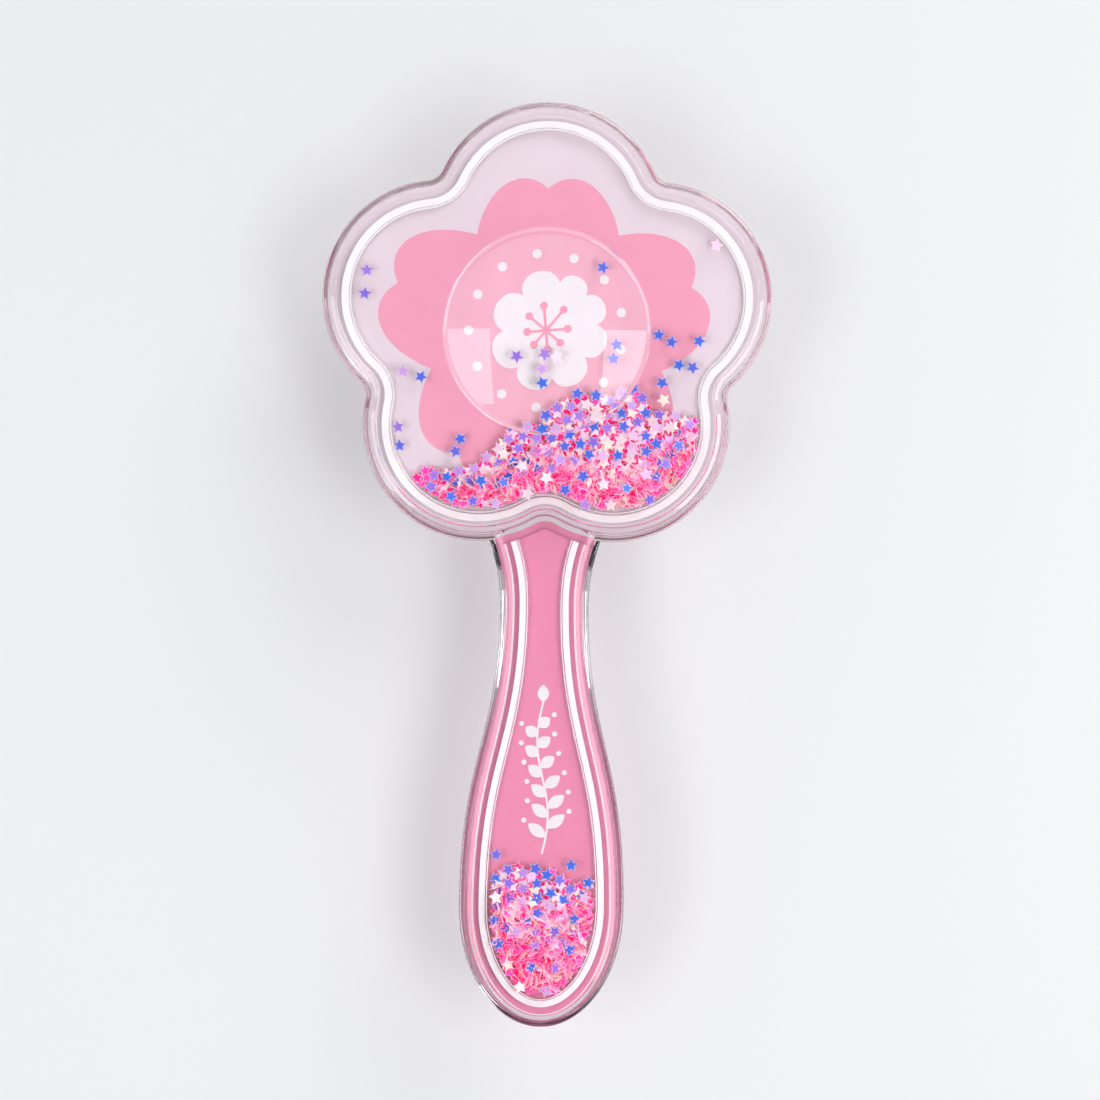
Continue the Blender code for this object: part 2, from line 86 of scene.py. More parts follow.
NECK_HALF = 0.00945
NECK_DROP = 0.0172
FLARE_HALF = 0.0132
ROOT_DEPTH = 0.0115
BULB_HALF = 0.0175
BULB_END = 0.0254
END_STEPS = 24
SIDE_STEPS = 28
FLARE_STEPS = 12
BULB_PULL = 0.505
NECK_PULL = 0.448
FLARE_LOW_PULL = 0.38
FLARE_HIGH_PULL = 0.39
FLARE_LEAN = 0.31
VALLEY_Y = HEAD_CENTRE.y - FILLET_CENTRE + VALLEY_FILLET
NECK_Y = VALLEY_Y - NECK_DROP
BULB_Y = cad_box[0].y + BULB_END

RIM_STEPS = 14
FRONT_LOW, FRONT_HIGH = (corner.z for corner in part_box("front_shell"))
FRONT_DRAW = 0.0032
HANDLE_DEPTH = 0.0072
HANDLE_WALL = 0.0018
HANDLE_ROUND = 0.0058
NECK_FLAT = 0.0015
RING_SEAT = 0.0060
LEDGE_Z = 0.0175
AIR_WALL = 0.0085
AIR_TOP_Z = 0.0206
OVERSHOOT = 0.0010
CREASE = math.radians(20)

CLEAR_TINT = (0.985, 0.965, 0.976)
STYRENE_IOR = 1.56
# The weld and the front bend light less, so that light is not trapped in dark lines at the seam
WELD_IOR = 1.01
FRONT_IOR = 1.30
FLOAT, COLOUR, NORMAL = "NodeSocketFloat", "NodeSocketColor", "NodeSocketVector"


def arc(centre, radius, start, end, steps):
    """Points of an arc, its end left out because the next stretch begins there."""
    turn = (end - start) / steps
    return [
        centre + radius * Vector((math.cos(start + turn * i), math.sin(start + turn * i)))
        for i in range(steps)
    ]


def flower(inset):
    """Outline of the head, counter-clockwise, moved inwards by inset."""
    points = []
    for lobe in range(LOBES):
        axis = math.pi / 2 + 2 * HALF_STEP * lobe
        valley = axis + HALF_STEP
        lobe_centre = HEAD_CENTRE + LOBE_OFFSET * Vector((math.cos(axis), math.sin(axis)))
        valley_centre = HEAD_CENTRE + FILLET_CENTRE * Vector((math.cos(valley), math.sin(valley)))
        points += arc(
            lobe_centre, LOBE_RADIUS - inset, axis - LOBE_SPAN, axis + LOBE_SPAN, LOBE_STEPS
        )
        points += arc(
            valley_centre,
            VALLEY_FILLET + inset,
            axis + LOBE_SPAN + math.pi,
            axis + 2 * HALF_STEP - LOBE_SPAN + math.pi,
            FILLET_STEPS,
        )
    return points


def circle(centre, radius, sides):
    return arc(centre, radius, 0.0, 2 * math.pi, sides)


def curve(a, b, c, d, steps):
    """Points of a cubic curve between a and d, its end left out."""
    corners = (Vector(a), Vector(b), Vector(c), Vector(d))
    return [Vector(p) for p in geometry.interpolate_bezier(*corners, steps + 1)][:-1]


def handle(inset):
    """Outline of the handle, counter-clockwise from its end, moved inwards by inset. Its root lies
    inside the head."""
    fall = NECK_Y - BULB_Y
    flare = VALLEY_Y - NECK_Y
    lean_half = NECK_HALF + FLARE_LEAN * (FLARE_HALF - NECK_HALF)
    side = [
        Vector((BULB_HALF * math.sin(t), BULB_Y - BULB_END * math.cos(t)))
        for t in (math.pi / 2 * i / END_STEPS for i in range(END_STEPS))
    ]
    side += curve(
        (BULB_HALF, BULB_Y),
        (BULB_HALF, BULB_Y + BULB_PULL * fall),
        (NECK_HALF, NECK_Y - NECK_PULL * fall),
        (NECK_HALF, NECK_Y),
        SIDE_STEPS,
    )
    side += curve(
        (NECK_HALF, NECK_Y),
        (NECK_HALF, NECK_Y + FLARE_LOW_PULL * flare),
        (lean_half, VALLEY_Y - FLARE_HIGH_PULL * flare),
        (FLARE_HALF, VALLEY_Y),
        FLARE_STEPS,
    )
    side += [Vector((FLARE_HALF, VALLEY_Y)), Vector((FLARE_HALF, VALLEY_Y + ROOT_DEPTH))]
    points = side + [Vector((-p.x, p.y)) for p in reversed(side[1:])]
    moved = []
    for i, point in enumerate(points):
        before = (point - points[i - 1]).normalized()
        after = (points[(i + 1) % len(points)] - point).normalized()
        normal = before.orthogonal() + after.orthogonal()
        moved.append(point + inset * normal / (1 + before.dot(after)))
    return moved


def rim_down(low, high, run, start=0.0):
    """Profile, from low up to high, of a wall that curves in by run on its way down."""
    turns = [math.pi / 2 * (1 - i / RIM_STEPS) for i in range(RIM_STEPS + 1)]
    return [
        (start + run * (1 - math.cos(t)), high - (high - low) * math.sin(t)) for t in turns
    ]


def new_piece(name, points, faces, *materials):
    mesh = bpy.data.meshes.new(name)
    mesh.from_pydata(points, [], faces)
    for finish in materials:
        mesh.materials.append(finish)
    piece = bpy.data.objects.new(name, mesh)
    bpy.context.scene.collection.objects.link(piece)
    return piece


def loft(name, outline, profile, *materials, closed=False, slots=()):
    """A solid whose section at each (inset, z) of the profile is the outline moved inwards by inset.
    The profile runs upwards, and a closed one goes on round, outside first, to make a ring. Slots
    gives the material of each band of faces, the last for all that follow."""
    rings = [[(p.x, p.y, z) for p in outline(inset)] for inset, z in profile]
    count = len(rings[0])
    bands = len(rings) if closed else len(rings) - 1
    faces = []
    for low in range(bands):
        high = (low + 1) % len(rings)
        for i in range(count):
            j = (i + 1) % count
            faces.append(
                (low * count + i, low * count + j, high * count + j, high * count + i)
            )
    if not closed:
        faces.append(tuple(reversed(range(count))))
        faces.append(tuple(range((len(rings) - 1) * count, len(rings) * count)))
    piece = new_piece(name, [point for ring in rings for point in ring], faces, *materials)
    if slots:
        for face in piece.data.polygons:
            face.material_index = slots[min(face.index // count, len(slots) - 1)]
    return piece


def settle(piece):
    """Replaces a piece's mesh by what its modifiers make of it."""
    graph = bpy.context.evaluated_depsgraph_get()
    mesh = bpy.data.meshes.new_from_object(piece.evaluated_get(graph))
    piece.modifiers.clear()
    piece.data = mesh
    mesh.name = piece.name
    return piece


def combine(piece, other, operation):
    """Joins a piece with another shape, or cuts it by that shape, which is then gone."""
    modifier = piece.modifiers.new("combine", "BOOLEAN")
    modifier.operation = operation
    modifier.object = other
    modifier.solver = "EXACT"
    modifier.material_mode = "TRANSFER"
    settle(piece)
    bpy.data.objects.remove(other, do_unlink=True)
    return piece


def polish(piece, crease=CREASE):
    """Smooth shading that keeps creases sharp and flat faces flat."""
    piece.data.shade_smooth()
    piece.data.set_sharp_from_angle(angle=crease)
    even = piece.modifiers.new("even normals", "WEIGHTED_NORMAL")
    even.keep_sharp = True
    return settle(piece)


def keep_clear_of_head(piece, margin, finish):
    """Cuts the head's outline, grown by margin, from a piece of the handle."""
    tall = [(-margin, cad_box[0].z), (-margin, cad_box[1].z)]
    return combine(piece, loft("head_room", flower, tall, finish), "DIFFERENCE")


def node_group(name, kind, inputs, outputs):
    """An empty node group with the named inputs and outputs, and its two end nodes."""
    group = bpy.data.node_groups.new(name, kind)
    for direction, sockets in (("INPUT", inputs), ("OUTPUT", outputs)):
        for label, socket_type in sockets.items():
            group.interface.new_socket(label, in_out=direction, socket_type=socket_type)
    return group, group.nodes.new("NodeGroupInput"), group.nodes.new("NodeGroupOutput")


def wire(tree, *links):
    """Links nodes of a tree, each link given as from node, output, to node, input."""
    for source, output, target, entry in links:
        tree.links.new(source.outputs[output], target.inputs[entry])


def mottle_group():
    """Cloudy change of colour and gloss over a piece."""
    group, entry, result = node_group(
        "mottle",
        "ShaderNodeTree",
        {
            "Scale": FLOAT,
            "Detail": FLOAT,
            "Deep": COLOUR,
            "Light": COLOUR,
            "Smooth": FLOAT,
            "Rough": FLOAT,
        },
        {"Colour": COLOUR, "Roughness": FLOAT},
    )
    place = group.nodes.new("ShaderNodeTexCoord")
    cloud = group.nodes.new("ShaderNodeTexNoise")
    mix = group.nodes.new("ShaderNodeMix")
    mix.data_type = "RGBA"
    span = group.nodes.new("ShaderNodeMapRange")
    wire(
        group,
        (place, "Object", cloud, "Vector"),
        (entry, "Scale", cloud, "Scale"),
        (entry, "Detail", cloud, "Detail"),
        (cloud, "Fac", mix, "Factor"),
        (entry, "Deep", mix, "A"),
        (entry, "Light", mix, "B"),
        (cloud, "Fac", span, "Value"),
        (entry, "Smooth", span, "To Min"),
        (entry, "Rough", span, "To Max"),
        (mix, "Result", result, "Colour"),
        (span, "Result", result, "Roughness"),
    )
    return group


def grain_group():
    """Fine tooth of a surface, as a normal."""
    group, entry, result = node_group(
        "grain",
        "ShaderNodeTree",
        {"Scale": FLOAT, "Strength": FLOAT, "Depth": FLOAT},
        {"Normal": NORMAL},
    )
    place = group.nodes.new("ShaderNodeTexCoord")
    speck = group.nodes.new("ShaderNodeTexNoise")
    bump = group.nodes.new("ShaderNodeBump")
    wire(
        group,
        (place, "Object", speck, "Vector"),
        (entry, "Scale", speck, "Scale"),
        (speck, "Fac", bump, "Height"),
        (entry, "Strength", bump, "Strength"),
        (entry, "Depth", bump, "Distance"),
        (bump, "Normal", result, "Normal"),
    )
    return group


mottle = mottle_group()
grain = grain_group()


def place_group(made, group, **values):
    """Places a shared effect in a material, with the material's own values."""
    node = made.node_tree.nodes.new("ShaderNodeGroup")
    node.node_tree = group
    for label, value in values.items():
        node.inputs[label].default_value = value
    return node


def mottled(name, colour, scale, detail, smooth, rough, deep=0.95, light=1.04):
    """A material whose colour and gloss vary a little over the piece."""
    made = bpy.data.materials.new(name)
    made.use_nodes = True
    shader = made.node_tree.nodes["Principled BSDF"]
    cloud = place_group(
        made,
        mottle,
        Scale=scale,
        Detail=detail,
        Deep=(*(c * deep for c in colour), 1.0),
        Light=(*(min(1.0, c * light) for c in colour), 1.0),
        Smooth=smooth,
        Rough=rough,
    )
    made.node_tree.links.new(cloud.outputs["Colour"], shader.inputs["Base Color"])
    made.node_tree.links.new(cloud.outputs["Roughness"], shader.inputs["Roughness"])
    return made


def grained(made, scale, strength, depth):
    """Adds a fine tooth to a material."""
    tooth = place_group(made, grain, Scale=scale, Strength=strength, Depth=depth)
    shader = made.node_tree.nodes["Principled BSDF"]
    made.node_tree.links.new(tooth.outputs["Normal"], shader.inputs["Normal"])
    return made


def clear_plastic(name, tint, ior):
    """Clear moulded plastic with faint flow marks, which lets lamps shine through."""
    made = mottled(
        name, tint, scale=90.0, detail=2.0, smooth=0.0, rough=0.02, deep=1.0, light=1.02
    )
    nodes, links = made.node_tree.nodes, made.node_tree.links
    shader = nodes["Principled BSDF"]
    shader.inputs["Transmission Weight"].default_value = 1.0
    shader.inputs["IOR"].default_value = ior
    through = nodes.new("ShaderNodeBsdfTransparent")
    through.inputs["Color"].default_value = (*tint, 1.0)
    path = nodes.new("ShaderNodeLightPath")
    either = nodes.new("ShaderNodeMixShader")
    links.new(path.outputs["Is Shadow Ray"], either.inputs[0])
    links.new(shader.outputs[0], either.inputs[1])
    links.new(through.outputs[0], either.inputs[2])
    links.new(either.outputs[0], nodes["Material Output"].inputs["Surface"])
    return made


clear = clear_plastic("clear_styrene", CLEAR_TINT, STYRENE_IOR)
welded = clear_plastic("clear_styrene_weld", CLEAR_TINT, WELD_IOR)
front_clear = clear_plastic("clear_styrene_front", CLEAR_TINT, FRONT_IOR)

front_rim = rim_down(FRONT_LOW, FRONT_HIGH, FRONT_DRAW)
front_shell = loft("front_casing", flower, front_rim, front_clear, welded)
front_shell.data.polygons[-1].material_index = 1
handle_low = FRONT_HIGH - HANDLE_DEPTH
round_run = min(HANDLE_ROUND, NECK_HALF - HANDLE_WALL - NECK_FLAT)
handle_rim = rim_down(handle_low, FRONT_HIGH, round_run)
handle_front = loft("handle_front", handle, handle_rim, front_clear, welded)
handle_front.data.polygons[-1].material_index = 1
combine(front_shell, handle_front, "UNION")
seat = [
    (RING_SEAT, FRONT_LOW - OVERSHOOT),
    (RING_SEAT, LEDGE_Z),
    (AIR_WALL, LEDGE_Z),
    (AIR_WALL, AIR_TOP_Z),
]
combine(front_shell, loft("cushion_seat", flower, seat, front_clear), "DIFFERENCE")
hollow = rim_down(handle_low + HANDLE_WALL, FRONT_HIGH, round_run, HANDLE_WALL)
hollow.append((HANDLE_WALL, FRONT_HIGH + OVERSHOOT))
handle_hollow = loft("handle_hollow", handle, hollow, welded)
keep_clear_of_head(handle_hollow, HANDLE_WALL, welded)
combine(front_shell, handle_hollow, "DIFFERENCE")
polish(front_shell)
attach(front_shell, "brush")
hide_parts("front_shell")

# Air cushion
# A crowned membrane of pink rubber, moulded with a vent, whose flat flange is clamped in the front
# shell. Air behind it lets the pins sink in when the brush is pressed on hair.
GAP = 0.0003
RUBBER = 0.0012
CROWN_Z = 0.0120
CUSHION_CROWN = 0.0020
FLANGE_Z = 0.0160
CUSHION_NECK = 0.0098
CUSHION_SIDE_RUN = 0.0024
CUSHION_EDGE = CUSHION_NECK + CUSHION_SIDE_RUN
CUSHION_REACH = LOBE_OFFSET + LOBE_RADIUS - CUSHION_EDGE
SIDE_FACETS = 6
PETAL_INSETS = (0.0138, 0.0158, 0.0178, 0.0198)
CROWN_SHARES = (0.8, 0.6, 0.4, 0.2, 0.05)
VENT_REACH = 0.0215
VENT_RADIUS = 0.0006
VENT_SIDES = 12
RUBBER_PINK = (0.80, 0.27, 0.42)


def cushion_face(place, inset):
    """Level of the rubber's outer face: a flat flange, a drawn-in side and a crowned middle."""
    crown = CROWN_Z + CUSHION_CROWN * ((place - HEAD_CENTRE).length / CUSHION_REACH) ** 2
    share = min(max((inset - CUSHION_NECK) / CUSHION_SIDE_RUN, 0.0), 1.0)
    return FLANGE_Z + (crown - FLANGE_Z) * share * share * (3 - 2 * share)


side_insets = [CUSHION_NECK + CUSHION_SIDE_RUN * i / SIDE_FACETS for i in range(SIDE_FACETS + 1)]
cushion_insets = [RING_SEAT + GAP, *side_insets, *PETAL_INSETS]
cushion_rings = [[(p, inset) for p in flower(inset)] for inset in cushion_insets]
last_inset = cushion_insets[-1]
for share in CROWN_SHARES:
    shrunk = [HEAD_CENTRE + share * (p - HEAD_CENTRE) for p in flower(last_inset)]
    cushion_rings.append([(p, last_inset) for p in shrunk])
outer_face = [
    [(p.x, p.y, cushion_face(p, inset)) for p, inset in ring] for ring in cushion_rings
]
inner_face = [[(x, y, z + RUBBER) for x, y, z in ring] for ring in reversed(outer_face)]
ring_size = len(outer_face[0])
ring_points = [point for ring in inner_face + outer_face for point in ring]
ring_count = len(inner_face) + len(outer_face)
around = [(i, (i + 1) % ring_size) for i in range(ring_size)]
cushion_faces = [
    (ring * ring_size + i, (ring + 1) * ring_size + i, (ring + 1) * ring_size + j, ring * ring_size + j)
    for ring in range(ring_count - 1)
    for i, j in around
]
cushion_faces.append(tuple(range(ring_size)))
cushion_faces.append(tuple(reversed(range((ring_count - 1) * ring_size, ring_count * ring_size))))

rubber = mottled("pink_rubber", RUBBER_PINK, scale=140.0, detail=4.0, smooth=0.45, rough=0.6)
grained(rubber, scale=1800.0, strength=0.12, depth=0.0001)
cushion = new_piece("cushion_rubber", ring_points, cushion_faces, rubber)
vent_place = HEAD_CENTRE - Vector((0.0, VENT_REACH))
vent = loft(
    "vent",
    lambda inset: circle(vent_place, VENT_RADIUS, VENT_SIDES),
    [(0.0, CROWN_Z), (0.0, LEDGE_Z)],
    rubber,
)
combine(cushion, vent, "DIFFERENCE")
polish(cushion)
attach(cushion, "brush")
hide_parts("cushion")
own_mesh(cushion)

# Clamping ring
# A flower-shaped ring moulded in white plastic, snapped into the front shell's seat from below. It
# clamps the cushion's flange all round.
RING_LOW, RING_HIGH = (corner.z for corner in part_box("cushion_ring"))
RING_WIDTH = 0.0032
RING_BEVEL = 0.0004
RING_CREASE = math.radians(50)
RING_WHITE = (0.86, 0.82, 0.84)

ring_white = mottled("white_ring_plastic", RING_WHITE, scale=120.0, detail=3.0, smooth=0.25, rough=0.38)
grained(ring_white, scale=2200.0, strength=0.05, depth=0.0001)
ring_outer = RING_SEAT + GAP
ring_inner = ring_outer + RING_WIDTH
clamping_ring = loft(
    "clamping_ring",
    flower,
    [
        (ring_outer + RING_BEVEL, RING_LOW),
        (ring_outer, RING_LOW + RING_BEVEL),
        (ring_outer, RING_HIGH),
        (ring_inner, RING_HIGH),
        (ring_inner, RING_LOW + 2 * RING_BEVEL),
        (ring_inner - RING_BEVEL, RING_LOW + RING_BEVEL / 2),
        (ring_inner - 2 * RING_BEVEL, RING_LOW),
    ],
    ring_white,
    closed=True,
)
polish(clamping_ring, RING_CREASE)
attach(clamping_ring, "brush")
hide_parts("cushion_ring")

# Pins
# White nylon pins with ball tips, pushed through the rubber from behind and held there by their
# flat heads. A raised collar of the rubber grips each one.
PIN_PITCH = 0.0049
PIN_EDGE = 0.0016
PIN_SIDES = 8
PIN_CREASE = math.radians(60)
CENTRE_WEB = 0.0100
CENTRE_RINGS = ((0.0, 1), (0.0046, 5), (0.0086, 10))
PIN_PROFILE = (
    (0.00030, 0.00003),
    (0.00064, 0.00028),
    (0.00078, 0.00080),
    (0.00066, 0.00136),
    (0.00042, 0.00190),
    (0.00060, 0.01520),
    (0.00110, 0.01540),
    (0.00110, 0.01600),
)
COLLAR_PROFILE = ((0.00062, -0.00055), (0.00100, -0.00045), (0.00145, 0.00025), (0.00062, 0.00025))
NYLON_WHITE = (0.90, 0.86, 0.87)


def round_shape(name, profile, sides, closed=False):
    """A turned shape about the Z axis, from (radius, z) pairs that run upwards."""
    axis = Vector((0.0, 0.0))
    return loft(name, lambda radius: circle(axis, radius, sides), profile, closed=closed)


def pin_places():
    """Places of the pins: rings in the middle, and rows across each petal."""
    places = []
    for radius, count in CENTRE_RINGS:
        places += arc(HEAD_CENTRE, radius, math.pi / 2, math.pi * 5 / 2, count)
    petal = []
    reach = CENTRE_WEB + PIN_EDGE + GAP
    row = 0
    most = math.ceil(LOBE_RADIUS / PIN_PITCH)
    while reach < LOBE_OFFSET + LOBE_RADIUS:
        for column in range(-most, most + 1):
            place = Vector(((column + 0.5 * (row % 2)) * PIN_PITCH, reach))
            beside = place.y * math.sin(HALF_STEP) - abs(place.x) * math.cos(HALF_STEP)
            from_lobe = LOBE_RADIUS - (place - Vector((0.0, LOBE_OFFSET))).length
            if from_lobe >= CUSHION_EDGE + PIN_EDGE and beside >= PIN_PITCH / 2:
                petal.append(place)
        row += 1
        reach += PIN_PITCH * math.sqrt(3) / 2
    for lobe in range(LOBES):
        turn = Matrix.Rotation(2 * HALF_STEP * lobe, 2)
        places += [HEAD_CENTRE + turn @ place for place in petal]
    return places


def set_shapes_tree():
    """A tree that sets a shape on each given point, turned by the point's own angles."""
    tree, entry, result = node_group(
        "set_shapes",
        "GeometryNodeTree",
        {"Places": "NodeSocketGeometry", "Shape": "NodeSocketObject", "Finish": "NodeSocketMaterial"},
        {"Set": "NodeSocketGeometry"},
    )
    shape = tree.nodes.new("GeometryNodeObjectInfo")
    turn = tree.nodes.new("GeometryNodeInputNamedAttribute")
    turn.data_type = "FLOAT_VECTOR"
    turn.inputs["Name"].default_value = "turn"
    copies = tree.nodes.new("GeometryNodeInstanceOnPoints")
    realize = tree.nodes.new("GeometryNodeRealizeInstances")
    coat = tree.nodes.new("GeometryNodeSetMaterial")
    wire(
        tree,
        (entry, "Shape", shape, "Object"),
        (entry, "Places", copies, "Points"),
        (shape, "Geometry", copies, "Instance"),
        (turn, "Attribute", copies, "Rotation"),
        (copies, "Instances", realize, "Geometry"),
        (realize, "Geometry", coat, "Geometry"),
        (entry, "Finish", coat, "Material"),
        (coat, "Geometry", result, "Set"),
    )
    return tree


set_shapes = set_shapes_tree()


def grow(piece, tree, values):
    """Runs a geometry tree on a piece, with its inputs by name, and keeps the plain mesh."""
    modifier = piece.modifiers.new(tree.name, "NODES")
    modifier.node_group = tree
    for item in tree.interface.items_tree:
        if item.in_out == "INPUT" and item.name in values:
            modifier[item.identifier] = values[item.name]
    return settle(piece)


nylon = mottled("white_nylon", NYLON_WHITE, scale=300.0, detail=3.0, smooth=0.3, rough=0.42)
pin_shape = round_shape("pin_shape", PIN_PROFILE, PIN_SIDES)
pin_shape.data.shade_smooth()
pin_shape.data.set_sharp_from_angle(angle=PIN_CREASE)
collar_shape = round_shape("collar_shape", COLLAR_PROFILE, PIN_SIDES, closed=True)
collar_shape.data.shade_smooth()
places = pin_places()
pins = new_piece("pins", [(*p, 0.0) for p in places], [])
grow(pins, set_shapes, {"Shape": pin_shape, "Finish": nylon})
collars = new_piece("pin_collars", [(*p, cushion_face(p, CUSHION_EDGE)) for p in places], [])
grow(collars, set_shapes, {"Shape": collar_shape, "Finish": rubber})
for shape in (pin_shape, collar_shape):
    bpy.data.objects.remove(shape, do_unlink=True)
petal_nodes = [f"pins_petal_{lobe + 1}" for lobe in range(LOBES)]
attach(pins, "pin_bed")
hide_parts("pins_centre", *petal_nodes)
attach(collars, "pin_bed")

# Printed cards
# Two thin clear films, screen printed and die cut, that lie under the chambers: pale pink with a
# cherry blossom and its white flower in the head, pink with a white sprig in the handle.
UNDER_WALL = 0.0019
CARD_LOW, CARD_HIGH = (corner.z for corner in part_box("head_card"))
INK = 0.00004
INK_GAP = 0.00002
HEAD_INK = 0.0020
HANDLE_INK = 0.0026
ROOT_GAP = 0.0011
ROOT_REACH = 0.0006
ROOT_LAYER = -14
FILM_TINT = (0.99, 0.98, 0.985)
FILM_IOR = 1.5
PALE_PINK = (0.76, 0.695, 0.735)
BLOSSOM_PINK = (0.85, 0.36, 0.49)
UNDER_DOME_PINK = (0.85, 0.455, 0.555)
CARD_PINK = (0.80, 0.27, 0.42)
INK_WHITE = (0.84, 0.84, 0.85)


def printed(name, colour):
    """Screen ink on film: a little mottled, with a fine tooth."""
    made = mottled(name, colour, scale=260.0, detail=6.0, smooth=0.45, rough=0.55)
    return grained(made, scale=2500.0, strength=0.05, depth=0.0001)


def ink_print(name, outlines, layer, finish):
    """Flat printed shapes, in the given layer of ink from the film up."""
    low = CARD_HIGH + INK_GAP + layer * INK
    points = []
    faces = []
    for outline in outlines:
        turn = sum(a.cross(b) for a, b in zip(outline, outline[1:] + outline[:1]))
        ring = outline if turn > 0 else outline[::-1]
        first, count = len(points), len(ring)
        points += [(*p, z) for z in (low, low + INK) for p in ring]
        faces.append(tuple(first + i for i in reversed(range(count))))
        faces.append(tuple(first + count + i for i in range(count)))
        for i in range(count):
            j = (i + 1) % count
            faces.append((first + i, first + j, first + count + j, first + count + i))
    return new_piece(name, points, faces, finish)


film = clear_plastic("clear_film", FILM_TINT, FILM_IOR)
pale_ink = printed("pale_pink_ink", PALE_PINK)
blossom_ink = printed("blossom_pink_ink", BLOSSOM_PINK)
under_dome_finish = printed("disc_pink_ink", UNDER_DOME_PINK)
card_ink = printed("card_pink_ink", CARD_PINK)
white_ink = printed("white_ink", INK_WHITE)

sheet = [(UNDER_WALL, CARD_LOW), (UNDER_WALL, CARD_HIGH)]
head_film = loft("head_film", flower, sheet, film)
handle_film = loft("handle_film", handle, sheet, film)
keep_clear_of_head(handle_film, ROOT_GAP, film)
head_field = ink_print("head_field_print", [flower(HEAD_INK)], 0, pale_ink)
handle_field = ink_print("handle_field_print", [handle(HANDLE_INK)], 0, card_ink)
keep_clear_of_head(handle_field, ROOT_GAP + INK_GAP, card_ink)
handle_root = ink_print("handle_root_print", [handle(HANDLE_INK)], ROOT_LAYER, card_ink)
keep_clear_of_head(handle_root, -ROOT_REACH, card_ink)

PETAL_VALLEY = Vector((0.0150, 0.0206))
PETAL_SIDE = Vector((0.0130, 0.0310))
PETAL_TIP = Vector((0.0056, 0.0356))
PETAL_NOTCH = Vector((0.0, 0.0304))
PETAL_REACH = (1.0, 1.09, 1.03, 1.03, 1.05)
PETAL_STEPS = 14
MIRROR = Matrix(((-1, 0), (0, 1)))


def blossom():
    """Outline of the printed cherry blossom, five notched petals, counter-clockwise."""
    points = []
    for petal, reach in enumerate(PETAL_REACH):
        turn = Matrix.Rotation(2 * HALF_STEP * petal, 2)
        side, tip, notch = PETAL_SIDE * reach, PETAL_TIP * reach, PETAL_NOTCH * reach
        half = curve(PETAL_VALLEY, side, tip, notch, PETAL_STEPS)
        other = curve(notch, MIRROR @ tip, MIRROR @ side, MIRROR @ PETAL_VALLEY, PETAL_STEPS)
        points += [HEAD_CENTRE + turn @ p for p in half + other]
    return points


FLOWER_CENTRE = HEAD_CENTRE + Vector((-0.0002, 0.0004))
FLOWER_VALLEYS = (
    (0.0101, 0.0013),
    (0.0079, 0.0070),
    (0.0027, 0.0095),
    (-0.0046, 0.0069),
    (-0.0085, -0.0002),
    (-0.0055, -0.0073),
    (0.0013, -0.0096),
    (0.0076, -0.0051),
)
FLOWER_BULGE = 0.62
FLOWER_STEPS = 14
STAMEN_TURN = math.radians(5)
STAMEN_REACH = (0.0043, 0.0054, 0.0049, 0.0043, 0.0037, 0.0037, 0.0037, 0.0037)
STAMEN_HALF = 0.00026
STAMEN_START = 0.00072
ANTHER_RADIUS = 0.00078
DOT_COUNT = 13
DOT_CIRCLE = 0.0154
DOT_RADIUS = 0.00095
DOT_START = math.radians(14)
DOT_SIDES = 20
DISC_RADIUS = 0.0200
DISC_SIDES = 96


def disc(centre, radius):
    return circle(centre, radius, DOT_SIDES)


def white_flower():
    """Outline of the white flower: a round lobe from each valley to the next."""
    valleys = [FLOWER_CENTRE + Vector(valley) for valley in FLOWER_VALLEYS]
    points = []
    for start, end in zip(valleys, valleys[1:] + valleys[:1]):
        out = FLOWER_BULGE * Vector((end.y - start.y, start.x - end.x))
        points += curve(start, start + out, end + out, end, FLOWER_STEPS)
    return points


def band(points, half):
    """Outline of a printed line of even width through the points."""
    sides = []
    for i, point in enumerate(points):
        along = points[min(i + 1, len(points) - 1)] - points[max(i - 1, 0)]
        sides.append(half * along.normalized().orthogonal())
    left = [p + side for p, side in zip(points, sides)]
    return left + [p - side for p, side in zip(points, sides)][::-1]


stamens = []
anthers = [disc(FLOWER_CENTRE, ANTHER_RADIUS)]
for i, reach in enumerate(STAMEN_REACH):
    turn = STAMEN_TURN + 2 * math.pi * i / len(STAMEN_REACH)
    along = Vector((math.cos(turn), math.sin(turn)))
    foot, anther = FLOWER_CENTRE + STAMEN_START * along, FLOWER_CENTRE + reach * along
    stamens.append(band([foot, anther], STAMEN_HALF))
    anthers.append(disc(anther, ANTHER_RADIUS))
dots = [
    disc(place, DOT_RADIUS)
    for place in arc(FLOWER_CENTRE, DOT_CIRCLE, DOT_START, DOT_START + 2 * math.pi, DOT_COUNT)
]
head_blossom = ink_print("head_blossom_print", [blossom()], 1, blossom_ink)
# A paler pink disc, about as wide as the dome's hollow, lies over the blossom under the dome
pale_disc = circle(HEAD_CENTRE, DISC_RADIUS, DISC_SIDES)
head_disc = ink_print("head_disc_print", [pale_disc], 2, under_dome_finish)
head_flower = ink_print("head_flower_print", [white_flower(), *dots], 3, white_ink)
head_stamens = ink_print("head_stamen_print", stamens, 4, blossom_ink)
head_anthers = ink_print("head_anther_print", anthers, 5, blossom_ink)

SPRIG_TOP = -0.0290
SPRIG_BOTTOM = -0.0610
SPRIG_SWAY = 0.0012
SPRIG_PAIRS = 6
SPRIG_JOINTS = 20
STEM_HALF = 0.00022
LEAF_LENGTH = 0.0047
LEAF_HALF = 0.00125
LEAF_TURN = math.radians(52)
LEAF_STEPS = 8
LEAF_NEAR = 0.3
LEAF_FAR = 0.65
FIRST_PAIR = 0.14
PAIRS_SPAN = 0.8
PAIR_STAGGER = 0.03
FOOT_LEAF = 1.08
LEAF_TAPER = 0.5
TIP_LEAF = 0.8
BUD_RADIUS = 0.00055


